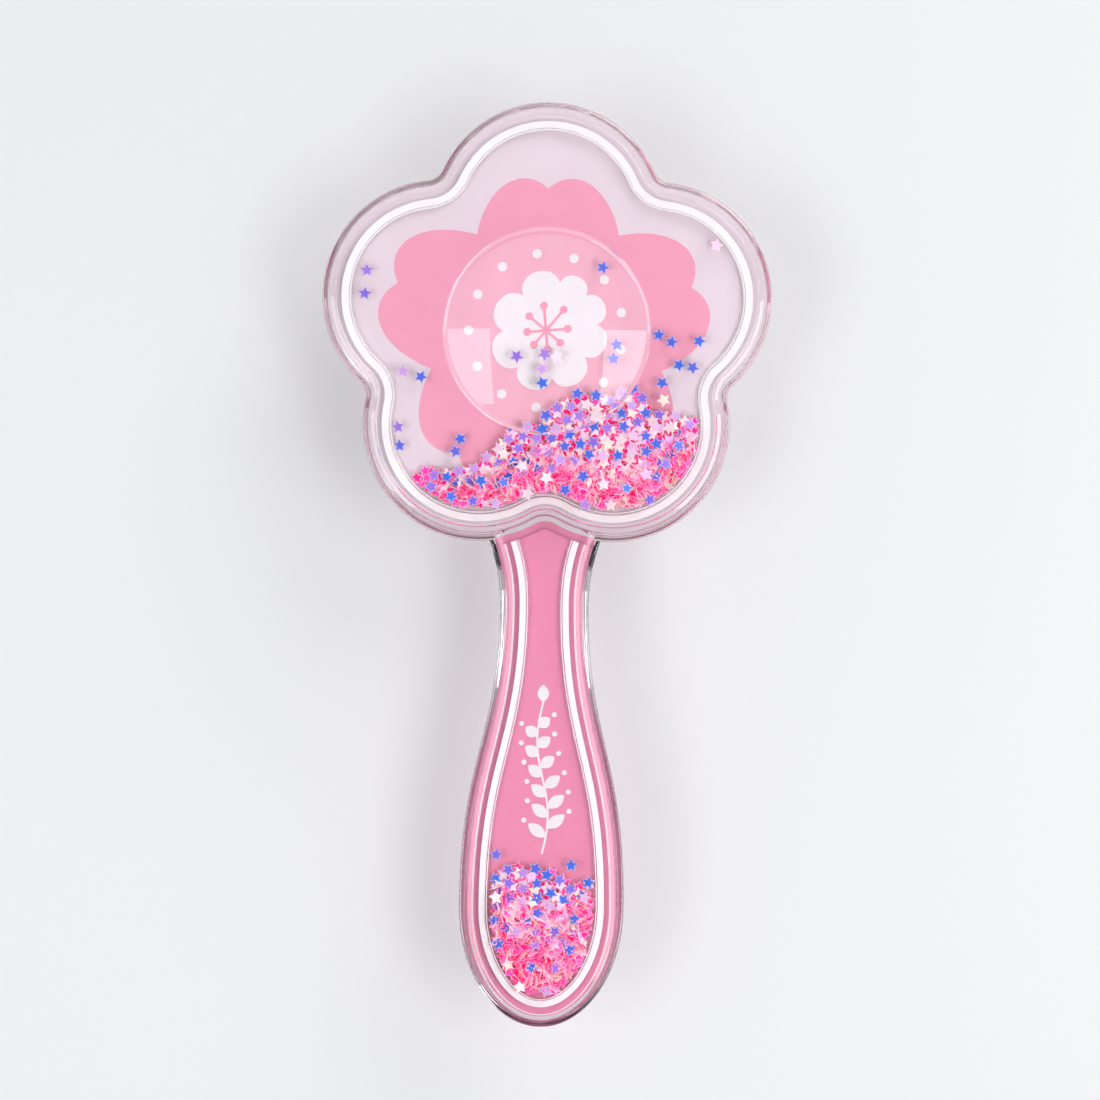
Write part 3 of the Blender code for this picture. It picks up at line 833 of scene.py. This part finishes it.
def stem_place(share):
    """A point of the sprig's gently curved stem, from its foot up."""
    sway = SPRIG_SWAY * math.sin(2 * math.pi * share)
    return Vector((sway, SPRIG_BOTTOM + share * (SPRIG_TOP - SPRIG_BOTTOM)))


def leaf(base, turn, length):
    """Outline of a pointed leaf that leaves the stem at an angle."""
    along = length * Vector((math.sin(turn), math.cos(turn)))
    beside = LEAF_HALF * 4 / 3 * along.normalized().orthogonal()
    tip = base + along
    near, far = base + LEAF_NEAR * along, base + LEAF_FAR * along
    one = curve(base, near + beside, far + beside, tip, LEAF_STEPS)
    return one + curve(tip, far - beside, near - beside, base, LEAF_STEPS)


stem = band([stem_place(i / SPRIG_JOINTS) for i in range(SPRIG_JOINTS + 1)], STEM_HALF)
sprig = []
for pair in range(SPRIG_PAIRS):
    share = FIRST_PAIR + PAIRS_SPAN * pair / SPRIG_PAIRS
    length = LEAF_LENGTH * (FOOT_LEAF - LEAF_TAPER * share)
    for side in (-1, 1):
        base = stem_place(share + PAIR_STAGGER * side)
        sprig.append(leaf(base, side * LEAF_TURN, length))
        reach = length + 2 * BUD_RADIUS
        bud = base + reach * Vector((math.sin(side * LEAF_TURN), math.cos(side * LEAF_TURN)))
        sprig.append(disc(bud, BUD_RADIUS))
sprig.append(leaf(stem_place(1.0), 0.0, LEAF_LENGTH * TIP_LEAF))
handle_stem = ink_print("handle_stem_print", [stem], 1, white_ink)
handle_sprig = ink_print("handle_sprig_print", sprig, 2, white_ink)

for piece, slot in (
    (head_film, "head_print"),
    (head_field, "head_print"),
    (head_blossom, "head_print"),
    (head_disc, "head_print"),
    (head_flower, "head_print"),
    (head_stamens, "head_print"),
    (head_anthers, "head_print"),
    (handle_film, "handle_print"),
    (handle_field, "handle_print"),
    (handle_stem, "handle_print"),
    (handle_sprig, "handle_print"),
    (handle_root, "handle_print"),
):
    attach(piece, "brush")
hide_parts("head_card")
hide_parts("handle_card")

# Chamber floors
# Two clear plates that close the oil chambers from below. Their upper face wets with the oil, so it
# bends light only a little, and a frosted bead of weld runs round them under the chamber walls. The
# bead's faint glow is painted light, which keeps it white in the shade under the rim.
FLOOR_LOW, FLOOR_HIGH = (corner.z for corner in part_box("head_chamber_floor"))
CHAMBER_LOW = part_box("head_sequin_fill")[0].z
OIL_IOR = 1.08
HEAD_BEAD = 0.0041
HANDLE_BEAD = 0.0043
BEAD_END = 0.0056
BEAD_GAP = 0.00002
BEAD_WHITE = (0.95, 0.95, 0.955)
BEAD_PAINTED_GLOW = 0.06

oil_side = clear_plastic("clear_styrene_in_oil", CLEAR_TINT, OIL_IOR)
frosted = mottled("frosted_weld", BEAD_WHITE, scale=400.0, detail=4.0, smooth=0.3, rough=0.5)
grained(frosted, scale=1500.0, strength=0.1, depth=0.0001)
# Painted light: the bead glows a little, so that it stays white in the shade under the rim
frost = frosted.node_tree.nodes["Principled BSDF"]
frost.inputs["Emission Color"].default_value = (*BEAD_WHITE, 1.0)
frost.inputs["Emission Strength"].default_value = BEAD_PAINTED_GLOW

for name, outline, bead_start in (("head", flower, HEAD_BEAD), ("handle", handle, HANDLE_BEAD)):
    floor = loft(
        f"{name}_floor_plate",
        outline,
        [(UNDER_WALL, FLOOR_LOW), (UNDER_WALL, FLOOR_HIGH)],
        clear,
        oil_side,
    )
    floor.data.polygons[-1].material_index = 1
    low, high = FLOOR_HIGH + BEAD_GAP, CHAMBER_LOW - BEAD_GAP
    bead = loft(
        f"{name}_weld_bead",
        outline,
        [(bead_start, low), (bead_start, high), (BEAD_END, high), (BEAD_END, low)],
        frosted,
        closed=True,
    )
    if outline is handle:
        keep_clear_of_head(floor, ROOT_GAP, clear)
        keep_clear_of_head(bead, ROOT_GAP, frosted)
    polish(floor)
    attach(floor, "brush")
    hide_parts(f"{name}_chamber_floor")
    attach(bead, "brush")

# Filling plugs
# Two small plugs of clear silicone in the floors, pushed in after the chambers were filled with oil.
SILICONE_TINT = (0.97, 0.95, 0.96)

silicone = clear_plastic("clear_silicone", SILICONE_TINT, OIL_IOR)
for node in ("head_fill_plug", "handle_fill_plug"):
    bpy.data.objects[node].material_slots[0].material = silicone

# Star sequins
# Punched stars of thin iridescent film, blue and violet face on and hot pink on edge, which float
# loose in the oil. They have sunk to the lower end of both chambers, with a few still scattered. Their
# glow, the red and pale rims of each star and a bed of red stars under the heap are painted light and
# shade.
STAR_RADIUS = 0.0015
STAR_VALLEY = 0.50
STAR_THICKNESS = 0.0001
STAR_HIGHLIGHT_BORDER = 0.80
STAR_SHADE_FLARE = 1.07
STAR_POINTS = 5
# Rings of a star from its face out: size, level, and the place on the map of its tips and valleys
STAR_RINGS = (
    (STAR_HIGHLIGHT_BORDER, 0.5, (0.45, 0.55)),
    (1.0, 0.5, (0.95, 1.0)),
    (STAR_SHADE_FLARE, -0.5, (0.05, 0.15)),
)
STAR_SIZES = (0.92, 1.06)
MOST_DENSE = 4.0e6
SWIRL_SCALE = 160.0
SWIRL_TURN = 6 * math.pi
FIRST_SEED = 11
SEED_STEP = 10
CELL = 0.001
BED_INSET = 0.0072
HEAP_SLOPE = 0.012
HEAD_CEILING = 0.0302
HANDLE_CEILING = 0.0277
HEAD_HEAP = (
    (-0.0400, 0.0180),
    (-0.0306, 0.0192),
    (-0.0158, 0.0201),
    (-0.0112, 0.0226),
    (-0.0073, 0.0290),
    (-0.0010, 0.0307),
    (0.0022, 0.0353),
    (0.0191, 0.0374),
    (0.0223, 0.0328),
    (0.0308, 0.0307),
    (0.0400, 0.0260),
)
HANDLE_HEAP = (
    (-0.0137, -0.0651),
    (-0.0052, -0.0638),
    (0.0032, -0.0647),
    (0.0064, -0.0680),
    (0.0100, -0.0668),
)
TINTS = (
    (0.00, (0.74, 0.003, 0.13)),
    (0.10, (0.92, 0.015, 0.36)),
    (0.18, (0.95, 0.11, 0.60)),
    (0.25, (0.97, 0.58, 0.86)),
    (0.33, (0.99, 0.88, 0.93)),
    (0.40, (0.98, 0.92, 0.74)),
    (0.49, (0.86, 0.56, 0.88)),
    (0.60, (0.54, 0.30, 0.84)),
    (0.72, (0.30, 0.17, 0.80)),
    (0.86, (0.10, 0.16, 0.82)),
    (1.00, (0.03, 0.18, 0.84)),
)
# Painted red shade on the back edge of each star, and a painted highlight on the border of its face
RED_SHADE_EDGE = (0.80, 0.006, 0.15)
PALE_HIGHLIGHT_BORDER = (0.98, 0.93, 1.0)
HEAD_EDGE_ON = 0.0085
HANDLE_EDGE_ON = 0.0165
ALL = 9.0
# Each layer: how far below the heap's edge it begins and ends, how far it starts and reaches from the
# lower wall in heights of the edge-on strip, the spacing, the least and most tilt in degrees, the
# tints, and its level at the edge and deep in the heap as shares of the chamber's depth
Layer = namedtuple("Layer", "start end foot reach spacing tilts tints levels")
HEAP_LAYERS = {
    # The red layer lies at the bottom of the heap and shows through the gaps as painted red shade,
    # standing in for the shade that the film above tints red
    "red_sequins": Layer(0.0004, ALL, 0.0, ALL, 0.00145, (0, 25), (0.0, 0.16), (0.06, 0.12)),
    "edge_on_sequins": Layer(0.003, ALL, 0.0, 1.0, 0.00085, (58, 90), (0.0, 0.42), (0.45, 0.60)),
    "pale_sequins": Layer(0.0005, ALL, 0.6, ALL, 0.0024, (0, 14), (0.24, 0.50), (0.16, 0.62)),
    "violet_sequins": Layer(-0.0004, 0.014, 0.5, ALL, 0.0027, (0, 8), (0.40, 1.0), (0.26, 0.72)),
    "top_sequins": Layer(0.0030, ALL, 0.0, 0.8, 0.0046, (0, 14), (0.30, 1.0), (0.80, 0.86)),
}
HEAD_LOOSE = (
    (-0.0380, 0.0616, 0.68),
    (-0.0384, 0.0567, 0.76),
    (0.0355, 0.0676, 0.26),
    (0.0111, 0.0620, 0.86),
    (-0.0264, 0.0393, 0.92),
    (-0.0060, 0.0440, 0.72),
    (-0.0004, 0.0445, 0.66),
    (-0.0009, 0.0416, 0.55),
    (-0.0008, 0.0387, 0.98),
    (0.0019, 0.0440, 0.30),
    (0.0140, 0.0465, 0.84),
    (0.0134, 0.0437, 0.82),
    (0.0235, 0.0486, 0.90),
    (0.0262, 0.0471, 0.88),
    (0.0320, 0.0474, 0.94),
    (0.0278, 0.0423, 0.97),
    (0.0307, 0.0418, 0.86),
    (0.0243, 0.0385, 0.90),
    (0.0247, 0.0349, 0.40),
    (-0.0180, 0.0263, 0.94),
    (-0.0190, 0.0237, 0.84),
    (-0.0312, 0.0287, 0.70),
    (-0.0308, 0.0248, 0.86),
    (-0.0302, 0.0405, 0.56),
)
HANDLE_LOOSE = ((0.0062, -0.0632, 0.95), (-0.0096, -0.0611, 0.80), (0.0099, -0.0668, 0.97))
LOOSE_RISE = 0.0012
LOOSE_LEAN = 0.05
LOOSE_LEAN_STEPS = (5, 3)
LOOSE_TURN = 2.4
# Places on the map where the red edge and the pale border begin and are full, and how strong they
# are. The red edge is painted red shade and the pale border a painted highlight.
PAINTED_RIMS = ((0.30, 0.10, 0.95, RED_SHADE_EDGE), (0.62, 0.92, 0.9, PALE_HIGHLIGHT_BORDER))
TINT_START = 0.02
TINT_SPAN = 0.96
TINT_SHIMMER = 0.015
FILM_METALLIC = 0.15
FILM_ROUGHNESS = 0.28
# Painted light: the film glows, standing in for light that passes through it and lifting the shade
# between the stars. Red film glows in full up to the first tint, and pale and blue film keeps a share
# of it
FILM_PAINTED_GLOW = 0.30
PAINTED_GLOW_TINTS = (0.15, 0.45)
PAINTED_GLOW_LEAST = 0.2
BLACK = (0.0, 0.0, 0.0)


def star_shape():
    """One star, its back a little wider than its face, with the place on it kept for colouring. The
    wider back shows as a thin rim, painted from a pale highlight at the face to red shade at the back.
    """
    points = []
    rims = []
    for size, level, (tip_rim, valley_rim) in STAR_RINGS:
        for i in range(2 * STAR_POINTS):
            turn = math.pi / 2 + math.pi * i / STAR_POINTS
            radius = size * STAR_RADIUS * (STAR_VALLEY if i % 2 else 1.0)
            points.append((radius * math.cos(turn), radius * math.sin(turn), level * STAR_THICKNESS))
            rims.append(valley_rim if i % 2 else tip_rim)
    count = 2 * STAR_POINTS
    faces = [tuple(range(count)), tuple(reversed(range(2 * count, 3 * count)))]
    for ring in range(2):
        for i in range(count):
            j = (i + 1) % count
            first, second = ring * count, (ring + 1) * count
            faces.append((first + i, second + i, second + j, first + j))
    star = new_piece("star_shape", points, faces)
    along = star.data.attributes.new("along", "FLOAT", "POINT")
    along.data.foreach_set("value", [x / STAR_RADIUS for x, y, z in points])
    star.data.attributes.new("rim", "FLOAT", "POINT").data.foreach_set("value", rims)
    return star


def strew_tree():
    """A tree that strews stars over a bed, tilted at random with their headings in swirls."""
    sizes = ("Spacing", "Tilt Low", "Tilt High", "Tint Low", "Tint High")
    tree, entry, result = node_group(
        "strew_stars",
        "GeometryNodeTree",
        {
            "Bed": "NodeSocketGeometry",
            "Star": "NodeSocketObject",
            **{size: FLOAT for size in sizes},
            "Seed": "NodeSocketInt",
            "Finish": "NodeSocketMaterial",
        },
        {"Stars": "NodeSocketGeometry"},
    )
    nodes = tree.nodes
    scatter = nodes.new("GeometryNodeDistributePointsOnFaces")
    scatter.distribute_method = "POISSON"
    scatter.inputs["Density Max"].default_value = MOST_DENSE
    shape = nodes.new("GeometryNodeObjectInfo")
    tint, tilt, spin, size = (nodes.new("FunctionNodeRandomValue") for _ in range(4))
    spin.inputs["Max"].default_value = 2 * math.pi
    size.inputs["Min"].default_value, size.inputs["Max"].default_value = STAR_SIZES
    store = nodes.new("GeometryNodeStoreNamedAttribute")
    store.inputs["Name"].default_value = "tint"
    spot = nodes.new("GeometryNodeInputPosition")
    swirl = nodes.new("ShaderNodeTexNoise")
    swirl.inputs["Scale"].default_value = SWIRL_SCALE
    heading = nodes.new("ShaderNodeMath")
    heading.operation = "MULTIPLY"
    heading.inputs[1].default_value = SWIRL_TURN
    lean, turn = (nodes.new("ShaderNodeCombineXYZ") for _ in range(2))
    copies = nodes.new("GeometryNodeInstanceOnPoints")
    rotate = nodes.new("GeometryNodeRotateInstances")
    realize = nodes.new("GeometryNodeRealizeInstances")
    coat = nodes.new("GeometryNodeSetMaterial")
    for step, chance in enumerate((tint, tilt, spin, size)):
        offset = nodes.new("ShaderNodeMath")
        offset.inputs[1].default_value = step
        tree.links.new(entry.outputs["Seed"], offset.inputs[0])
        tree.links.new(offset.outputs[0], chance.inputs["Seed"])
    wire(
        tree,
        (entry, "Bed", scatter, "Mesh"),
        (entry, "Spacing", scatter, "Distance Min"),
        (entry, "Seed", scatter, "Seed"),
        (entry, "Star", shape, "Object"),
        (entry, "Tint Low", tint, "Min"),
        (entry, "Tint High", tint, "Max"),
        (entry, "Tilt Low", tilt, "Min"),
        (entry, "Tilt High", tilt, "Max"),
        (scatter, "Points", store, "Geometry"),
        (tint, "Value", store, "Value"),
        (spot, "Position", swirl, "Vector"),
        (swirl, "Fac", heading, 0),
        (tilt, "Value", lean, "X"),
        (heading, 0, lean, "Z"),
        (spin, "Value", turn, "Z"),
        (store, "Geometry", copies, "Points"),
        (shape, "Geometry", copies, "Instance"),
        (lean, "Vector", copies, "Rotation"),
        (size, "Value", copies, "Scale"),
        (copies, "Instances", rotate, "Instances"),
        (turn, "Vector", rotate, "Rotation"),
        (rotate, "Instances", realize, "Geometry"),
        (realize, "Geometry", coat, "Geometry"),
        (entry, "Finish", coat, "Material"),
        (coat, "Geometry", result, "Stars"),
    )
    return tree


def remap(tree, value, start, end, low, high):
    """Output of a node that takes a value from start and end to low and high."""
    node = tree.nodes.new("ShaderNodeMapRange")
    for label, number in (("From Min", start), ("From Max", end), ("To Min", low), ("To Max", high)):
        node.inputs[label].default_value = number
    tree.links.new(value, node.inputs["Value"])
    return node.outputs["Result"]


def blend(tree, share, first, second):
    """Output of a node that mixes two colours, each a fixed colour or another node's output."""
    mix = tree.nodes.new("ShaderNodeMix")
    mix.data_type = "RGBA"
    tree.links.new(share, mix.inputs["Factor"])
    for label, colour in (("A", first), ("B", second)):
        if isinstance(colour, tuple):
            mix.inputs[label].default_value = (*colour, 1.0)
        else:
            tree.links.new(colour, mix.inputs[label])
    return mix.outputs["Result"]


def iridescent_film():
    """Star film coloured by its own map: the tint across, and from red edge to pale border upwards. The
    red edge is painted red shade, the pale border a painted highlight, and the glow painted light.
    """
    made = bpy.data.materials.new("iridescent_film")
    made.use_nodes = True
    tree = made.node_tree
    shader = tree.nodes["Principled BSDF"]
    own = tree.nodes.new("ShaderNodeUVMap")
    own.uv_map = "OFBake"
    split = tree.nodes.new("ShaderNodeSeparateXYZ")
    face = tree.nodes.new("ShaderNodeValToRGB")
    stops = face.color_ramp.elements
    for place, _ in TINTS[2:]:
        stops.new(place)
    for stop, (place, colour) in zip(stops, TINTS):
        stop.position = place
        stop.color = (*colour, 1.0)
    wire(tree, (own, "UV", split, "Vector"), (split, "X", face, "Fac"))
    colour = face.outputs["Color"]
    for start, end, most, edge in PAINTED_RIMS:
        share = remap(tree, split.outputs["Y"], start, end, 0.0, most)
        colour = blend(tree, share, colour, edge)
    # Painted light: how strongly the film glows, by its tint
    painted_glow_share = remap(tree, split.outputs["X"], *PAINTED_GLOW_TINTS, 1.0, PAINTED_GLOW_LEAST)
    tree.links.new(colour, shader.inputs["Base Color"])
    tree.links.new(blend(tree, painted_glow_share, BLACK, colour), shader.inputs["Emission Color"])
    shader.inputs["Emission Strength"].default_value = FILM_PAINTED_GLOW
    shader.inputs["Metallic"].default_value = FILM_METALLIC
    shader.inputs["Roughness"].default_value = FILM_ROUGHNESS
    return made


def map_stars(piece):
    """Moves the stars' tint and place on the star into the map that their film reads."""
    mesh = piece.data
    values = {}
    for name in ("tint", "along", "rim"):
        held = np.zeros(len(mesh.vertices))
        mesh.attributes[name].data.foreach_get("value", held)
        values[name] = held
        mesh.attributes.remove(mesh.attributes[name])
    corners = np.zeros(len(mesh.loops), dtype=int)
    mesh.loops.foreach_get("vertex_index", corners)
    across = TINT_START + TINT_SPAN * values["tint"] + TINT_SHIMMER * values["along"]
    own = mesh.uv_layers.new(name="OFBake")
    own.uv.foreach_set("vector", np.column_stack((across, values["rim"]))[corners].ravel())


def heap_bed(name, outline, heap, ceiling, edge_on, layer):
    """Cells of a chamber below the heap's edge, at the layer's level."""
    edge_share, deep_share = layer.levels
    wall = np.array([tuple(p) for p in outline(BED_INSET)])
    after = np.roll(wall, -1, axis=0)
    edge_x, edge_y = zip(*heap)
    depth = ceiling - FLOOR_HIGH
    points = []
    faces = []
    low, high = wall.min(axis=0), wall.max(axis=0)
    for x in np.arange(low[0], high[0], CELL):
        crossed = (wall[:, 0] > x) != (after[:, 0] > x)
        share = (x - wall[crossed, 0]) / (after[crossed, 0] - wall[crossed, 0])
        walls_y = wall[crossed, 1] + share * (after[crossed, 1] - wall[crossed, 1])
        for y in np.arange(low[1], high[1], CELL):
            below = np.interp(x, edge_x, edge_y) - y
            if np.sum(walls_y > y) % 2 == 0 or not layer.start <= below <= layer.end:
                continue
            above = y - max(walls_y[walls_y < y])
            if not layer.foot <= above / edge_on <= layer.reach:
                continue
            into = min(max(below / HEAP_SLOPE, 0.0), 1.0)
            z = FLOOR_HIGH + depth * (edge_share + (deep_share - edge_share) * into)
            first = len(points)
            half = CELL / 2
            points += [(x + i * half, y + j * half, z) for i, j in ((-1, -1), (1, -1), (1, 1), (-1, 1))]
            faces.append((first, first + 1, first + 2, first + 3))
    return new_piece(name, points, faces)


star = star_shape()
strew = strew_tree()
film_stars = iridescent_film()
seed = FIRST_SEED
for name, outline, heap, ceiling, edge_on, loose in (
    ("head", flower, HEAD_HEAP, HEAD_CEILING, HEAD_EDGE_ON, HEAD_LOOSE),
    ("handle", handle, HANDLE_HEAP, HANDLE_CEILING, HANDLE_EDGE_ON, HANDLE_LOOSE),
):
    heaps = []
    for label, layer in HEAP_LAYERS.items():
        stars = heap_bed(f"{name}_{label}", outline, heap, ceiling, edge_on, layer)
        values = {
            "Star": star,
            "Spacing": layer.spacing,
            "Tilt Low": math.radians(layer.tilts[0]),
            "Tilt High": math.radians(layer.tilts[1]),
            "Tint Low": layer.tints[0],
            "Tint High": layer.tints[1],
            "Seed": seed,
            "Finish": film_stars,
        }
        grow(stars, strew, values)
        seed += SEED_STEP
        heaps.append(stars)
    scattered = new_piece(
        f"{name}_loose_sequins", [(x, y, FLOOR_HIGH + LOOSE_RISE) for x, y, tint in loose], []
    )
    tints = scattered.data.attributes.new("tint", "FLOAT", "POINT")
    tints.data.foreach_set("value", [tint for x, y, tint in loose])
    turns = scattered.data.attributes.new("turn", "FLOAT_VECTOR", "POINT")
    side_step, fore_step = LOOSE_LEAN_STEPS
    for i in range(len(loose)):
        lean = (LOOSE_LEAN * math.sin(side_step * i), LOOSE_LEAN * math.cos(fore_step * i))
        turns.data[i].vector = (*lean, LOOSE_TURN * i)
    grow(scattered, set_shapes, {"Shape": star, "Finish": film_stars})
    heaps.append(scattered)
    for stars in heaps:
        map_stars(stars)
        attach(stars, "brush")
    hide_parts(f"{name}_sequin_fill")
bpy.data.objects.remove(star, do_unlink=True)

# Back shell
# The upper half of the casing, one clear moulding with a stepped rim, the two oil chambers open
# below, and the low hollow dome over the middle of the head.
BACK_LOW, DOME_TOP = (corner.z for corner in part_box("back_shell"))
DOME_RISE = 0.0050
DOME_RADIUS = 0.0218
DOME_FOOT = 0.0016
DOME_FOOT_RUN = 0.0016
DOME_WALL = 0.0016
DOME_SIDES = 96
DOME_STEPS = 14
DOME_FLAT = 0.0004
HEAD_TOP = DOME_TOP - DOME_RISE
TOP_WALL = HEAD_TOP - HEAD_CEILING
HANDLE_TOP = HANDLE_CEILING + TOP_WALL
SEAM_WALL = 0.0016
CHAMBER_WALL = 0.0058
CHAMBER_FILLET = 0.0017
ROOT_WALL = 0.0008
CORNER_STEPS = 6
STEP_FACETS = 8
STEP_PULL = 0.55
RIM_EDGE = ((0.0, 0.40), (0.0006, 0.47))
RIM_STEPS_IN = (((0.0010, 0.48), (0.0021, 0.88)), ((0.0028, 0.90), (0.0033, 1.00)))


def rounded_top(inset, low, high, fillet):
    """Profile of a straight wall with a filleted top edge."""
    turns = [math.pi / 2 * i / CORNER_STEPS for i in range(CORNER_STEPS + 1)]
    return [(inset, low)] + [
        (inset + fillet * (1 - math.cos(t)), high - fillet * (1 - math.sin(t))) for t in turns
    ]


def stepped_rim(low, high):
    """Profile of the rim: an upright wall with a round edge, then two steps in to the top face."""
    (wall, wall_share), (edge, edge_share) = RIM_EDGE
    rise = high - low
    profile = [(wall, low)]
    for i in range(CORNER_STEPS + 1):
        t = math.pi / 2 * i / CORNER_STEPS
        share = wall_share + (edge_share - wall_share) * math.sin(t)
        profile.append((wall + (edge - wall) * (1 - math.cos(t)), low + rise * share))
    for (outer, low_share), (inner, high_share) in RIM_STEPS_IN:
        start = Vector((outer, low + rise * low_share))
        end = Vector((inner, low + rise * high_share))
        pull = Vector((STEP_PULL * (inner - outer), 0.0))
        profile += [tuple(p) for p in curve(start, start + pull, end - pull, end, STEP_FACETS)]
        profile.append(tuple(end))
    return profile


def dome(name, radius, base, rise, *edge):
    """A cap that rises from the base level, with its edge turned down to the given (radius, z)."""
    sphere = (radius**2 + rise**2) / (2 * rise)
    centre_z = base + rise - sphere
    start = math.asin((base - centre_z) / sphere)
    turns = [start + (math.pi / 2 - start) * i / DOME_STEPS for i in range(DOME_STEPS)]
    cap = [(sphere * math.cos(t), centre_z + sphere * math.sin(t)) for t in turns]
    profile = [*edge, *cap, (DOME_FLAT, base + rise)]
    return loft(name, lambda r: circle(HEAD_CENTRE, r, DOME_SIDES), profile, clear, oil_side)


def chamber(name, outline, ceiling):
    """Hollow under the back shell: a pocket for card and floor, and the oil chamber above it."""
    pocket = [(SEAM_WALL, BACK_LOW - OVERSHOOT), (SEAM_WALL, CHAMBER_LOW)]
    profile = pocket + rounded_top(CHAMBER_WALL, CHAMBER_LOW, ceiling, CHAMBER_FILLET)
    hollow = loft(name, outline, profile, clear, welded, oil_side, slots=(0, 1, 2))
    hollow.data.polygons[-2].material_index = 0
    return hollow


back_shell = loft("back_casing", flower, stepped_rim(BACK_LOW, HEAD_TOP), clear, welded)
handle_back = loft("handle_back", handle, stepped_rim(BACK_LOW, HANDLE_TOP), clear, welded)
for moulding in (back_shell, handle_back):
    moulding.data.polygons[-2].material_index = 1
combine(back_shell, handle_back, "UNION")
foot_turns = [math.pi / 2 * i / CORNER_STEPS for i in range(CORNER_STEPS)]
foot = [
    (DOME_RADIUS - DOME_FOOT_RUN * (1 - math.cos(t)), HEAD_TOP + DOME_FOOT * math.sin(t))
    for t in foot_turns
]
bulge = dome(
    "dome_bulge",
    DOME_RADIUS - DOME_FOOT_RUN,
    HEAD_TOP + DOME_FOOT,
    DOME_RISE - DOME_FOOT,
    (DOME_RADIUS, HEAD_TOP - OVERSHOOT),
    *foot,
)
combine(back_shell, bulge, "UNION")
combine(back_shell, chamber("head_chamber", flower, HEAD_CEILING), "DIFFERENCE")
hollow_radius = DOME_RADIUS - DOME_WALL
hollow_rise = HEAD_TOP + DOME_RISE - DOME_WALL - HEAD_CEILING
dome_hollow = dome(
    "dome_hollow", hollow_radius, HEAD_CEILING, hollow_rise, (hollow_radius, HEAD_CEILING - OVERSHOOT)
)
for face in dome_hollow.data.polygons:
    face.material_index = 1
combine(back_shell, dome_hollow, "DIFFERENCE")
handle_chamber = chamber("handle_chamber", handle, HANDLE_CEILING)
keep_clear_of_head(handle_chamber, ROOT_WALL, oil_side)
combine(back_shell, handle_chamber, "DIFFERENCE")
polish(back_shell)
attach(back_shell, "brush")
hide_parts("back_shell")

# Table, light and camera
# A pale matt table, two long softboxes beside the brush, a key softbox at the upper right and a room
# with bright walls, seen from straight above.
TABLE_HALF = 2.0
TABLE_WHITE = (0.75, 0.755, 0.765)
TABLE_GLOW = 0.27
ROOM_WHITE = (0.95, 0.97, 1.0)
ROOM_WALLS = 0.95
ROOM_CEILING = 0.12
SOFTBOX_WIDTH = 0.24
SOFTBOX_LENGTH = 0.45
SOFTBOX_HEIGHT = 0.62
SOFTBOX_ASIDE = 0.39
SOFTBOX_PAST_HEAD = 0.05
LEFT_POWER = 1.20
RIGHT_POWER = 1.55
KEY_PLACE = Vector((0.60, 0.767, 0.52))
KEY_SIZE = 0.55
KEY_POWER = 3.7
CAMERA_HEIGHT = 0.700
FRAME_WIDTH = 0.2330
CAMERA_ASIDE = (0.0011, 0.00314)
CAMERA_ROLL = math.radians(0.58)
SENSOR = 36.0

table_white = mottled(
    "table_white", TABLE_WHITE, scale=3.0, detail=3.0, smooth=0.55, rough=0.65, deep=0.99, light=1.01
)
shader = table_white.node_tree.nodes["Principled BSDF"]
shader.inputs["Emission Color"].default_value = (*TABLE_WHITE, 1.0)
shader.inputs["Emission Strength"].default_value = TABLE_GLOW
table = new_piece(
    "table",
    [(x * TABLE_HALF, y * TABLE_HALF, 0.0) for x, y in ((-1, -1), (1, -1), (1, 1), (-1, 1))],
    [(0, 1, 2, 3)],
    table_white,
)

room = bpy.data.worlds.new("room")
room.use_nodes = True
shine = room.node_tree.nodes["Background"]
shine.inputs["Color"].default_value = (*ROOM_WHITE, 1.0)
facing = room.node_tree.nodes.new("ShaderNodeTexCoord")
split = room.node_tree.nodes.new("ShaderNodeSeparateXYZ")
wire(room.node_tree, (facing, "Generated", split, "Vector"))
upward = remap(room.node_tree, split.outputs["Z"], 0.0, 1.0, ROOM_WALLS, ROOM_CEILING)
room.node_tree.links.new(upward, shine.inputs["Strength"])
bpy.context.scene.world = room


def softbox(name, place, aim, width, length, power):
    """A lamp behind a rectangular diffuser, its length across the aim."""
    lamp = bpy.data.lights.new(name, "AREA")
    lamp.shape = "RECTANGLE"
    lamp.size = length
    lamp.size_y = width
    lamp.energy = power
    box = bpy.data.objects.new(name, lamp)
    box.location = place
    box.rotation_euler = (aim - place).to_track_quat("-Z", "Y").to_euler()
    bpy.context.scene.collection.objects.link(box)


softbox_y = HEAD_CENTRE.y + SOFTBOX_PAST_HEAD - SOFTBOX_LENGTH / 2
for side, power in ((-1, LEFT_POWER), (1, RIGHT_POWER)):
    place = Vector((side * SOFTBOX_ASIDE, softbox_y, SOFTBOX_HEIGHT))
    softbox("side_softbox", place, Vector((0.0, softbox_y, 0.0)), SOFTBOX_WIDTH, SOFTBOX_LENGTH, power)
softbox("key_softbox", KEY_PLACE, Vector((0.0, 0.0, 0.0)), KEY_SIZE, KEY_SIZE, KEY_POWER)

lens = bpy.data.cameras.new("camera")
lens.sensor_width = SENSOR
lens.lens = SENSOR * CAMERA_HEIGHT / FRAME_WIDTH
camera = bpy.data.objects.new("camera", lens)
camera.location = (*CAMERA_ASIDE, FRONT_HIGH + CAMERA_HEIGHT)
camera.rotation_euler = (0.0, 0.0, CAMERA_ROLL)
bpy.context.scene.collection.objects.link(camera)
bpy.context.scene.camera = camera
bpy.context.scene.view_settings.view_transform = "Standard"
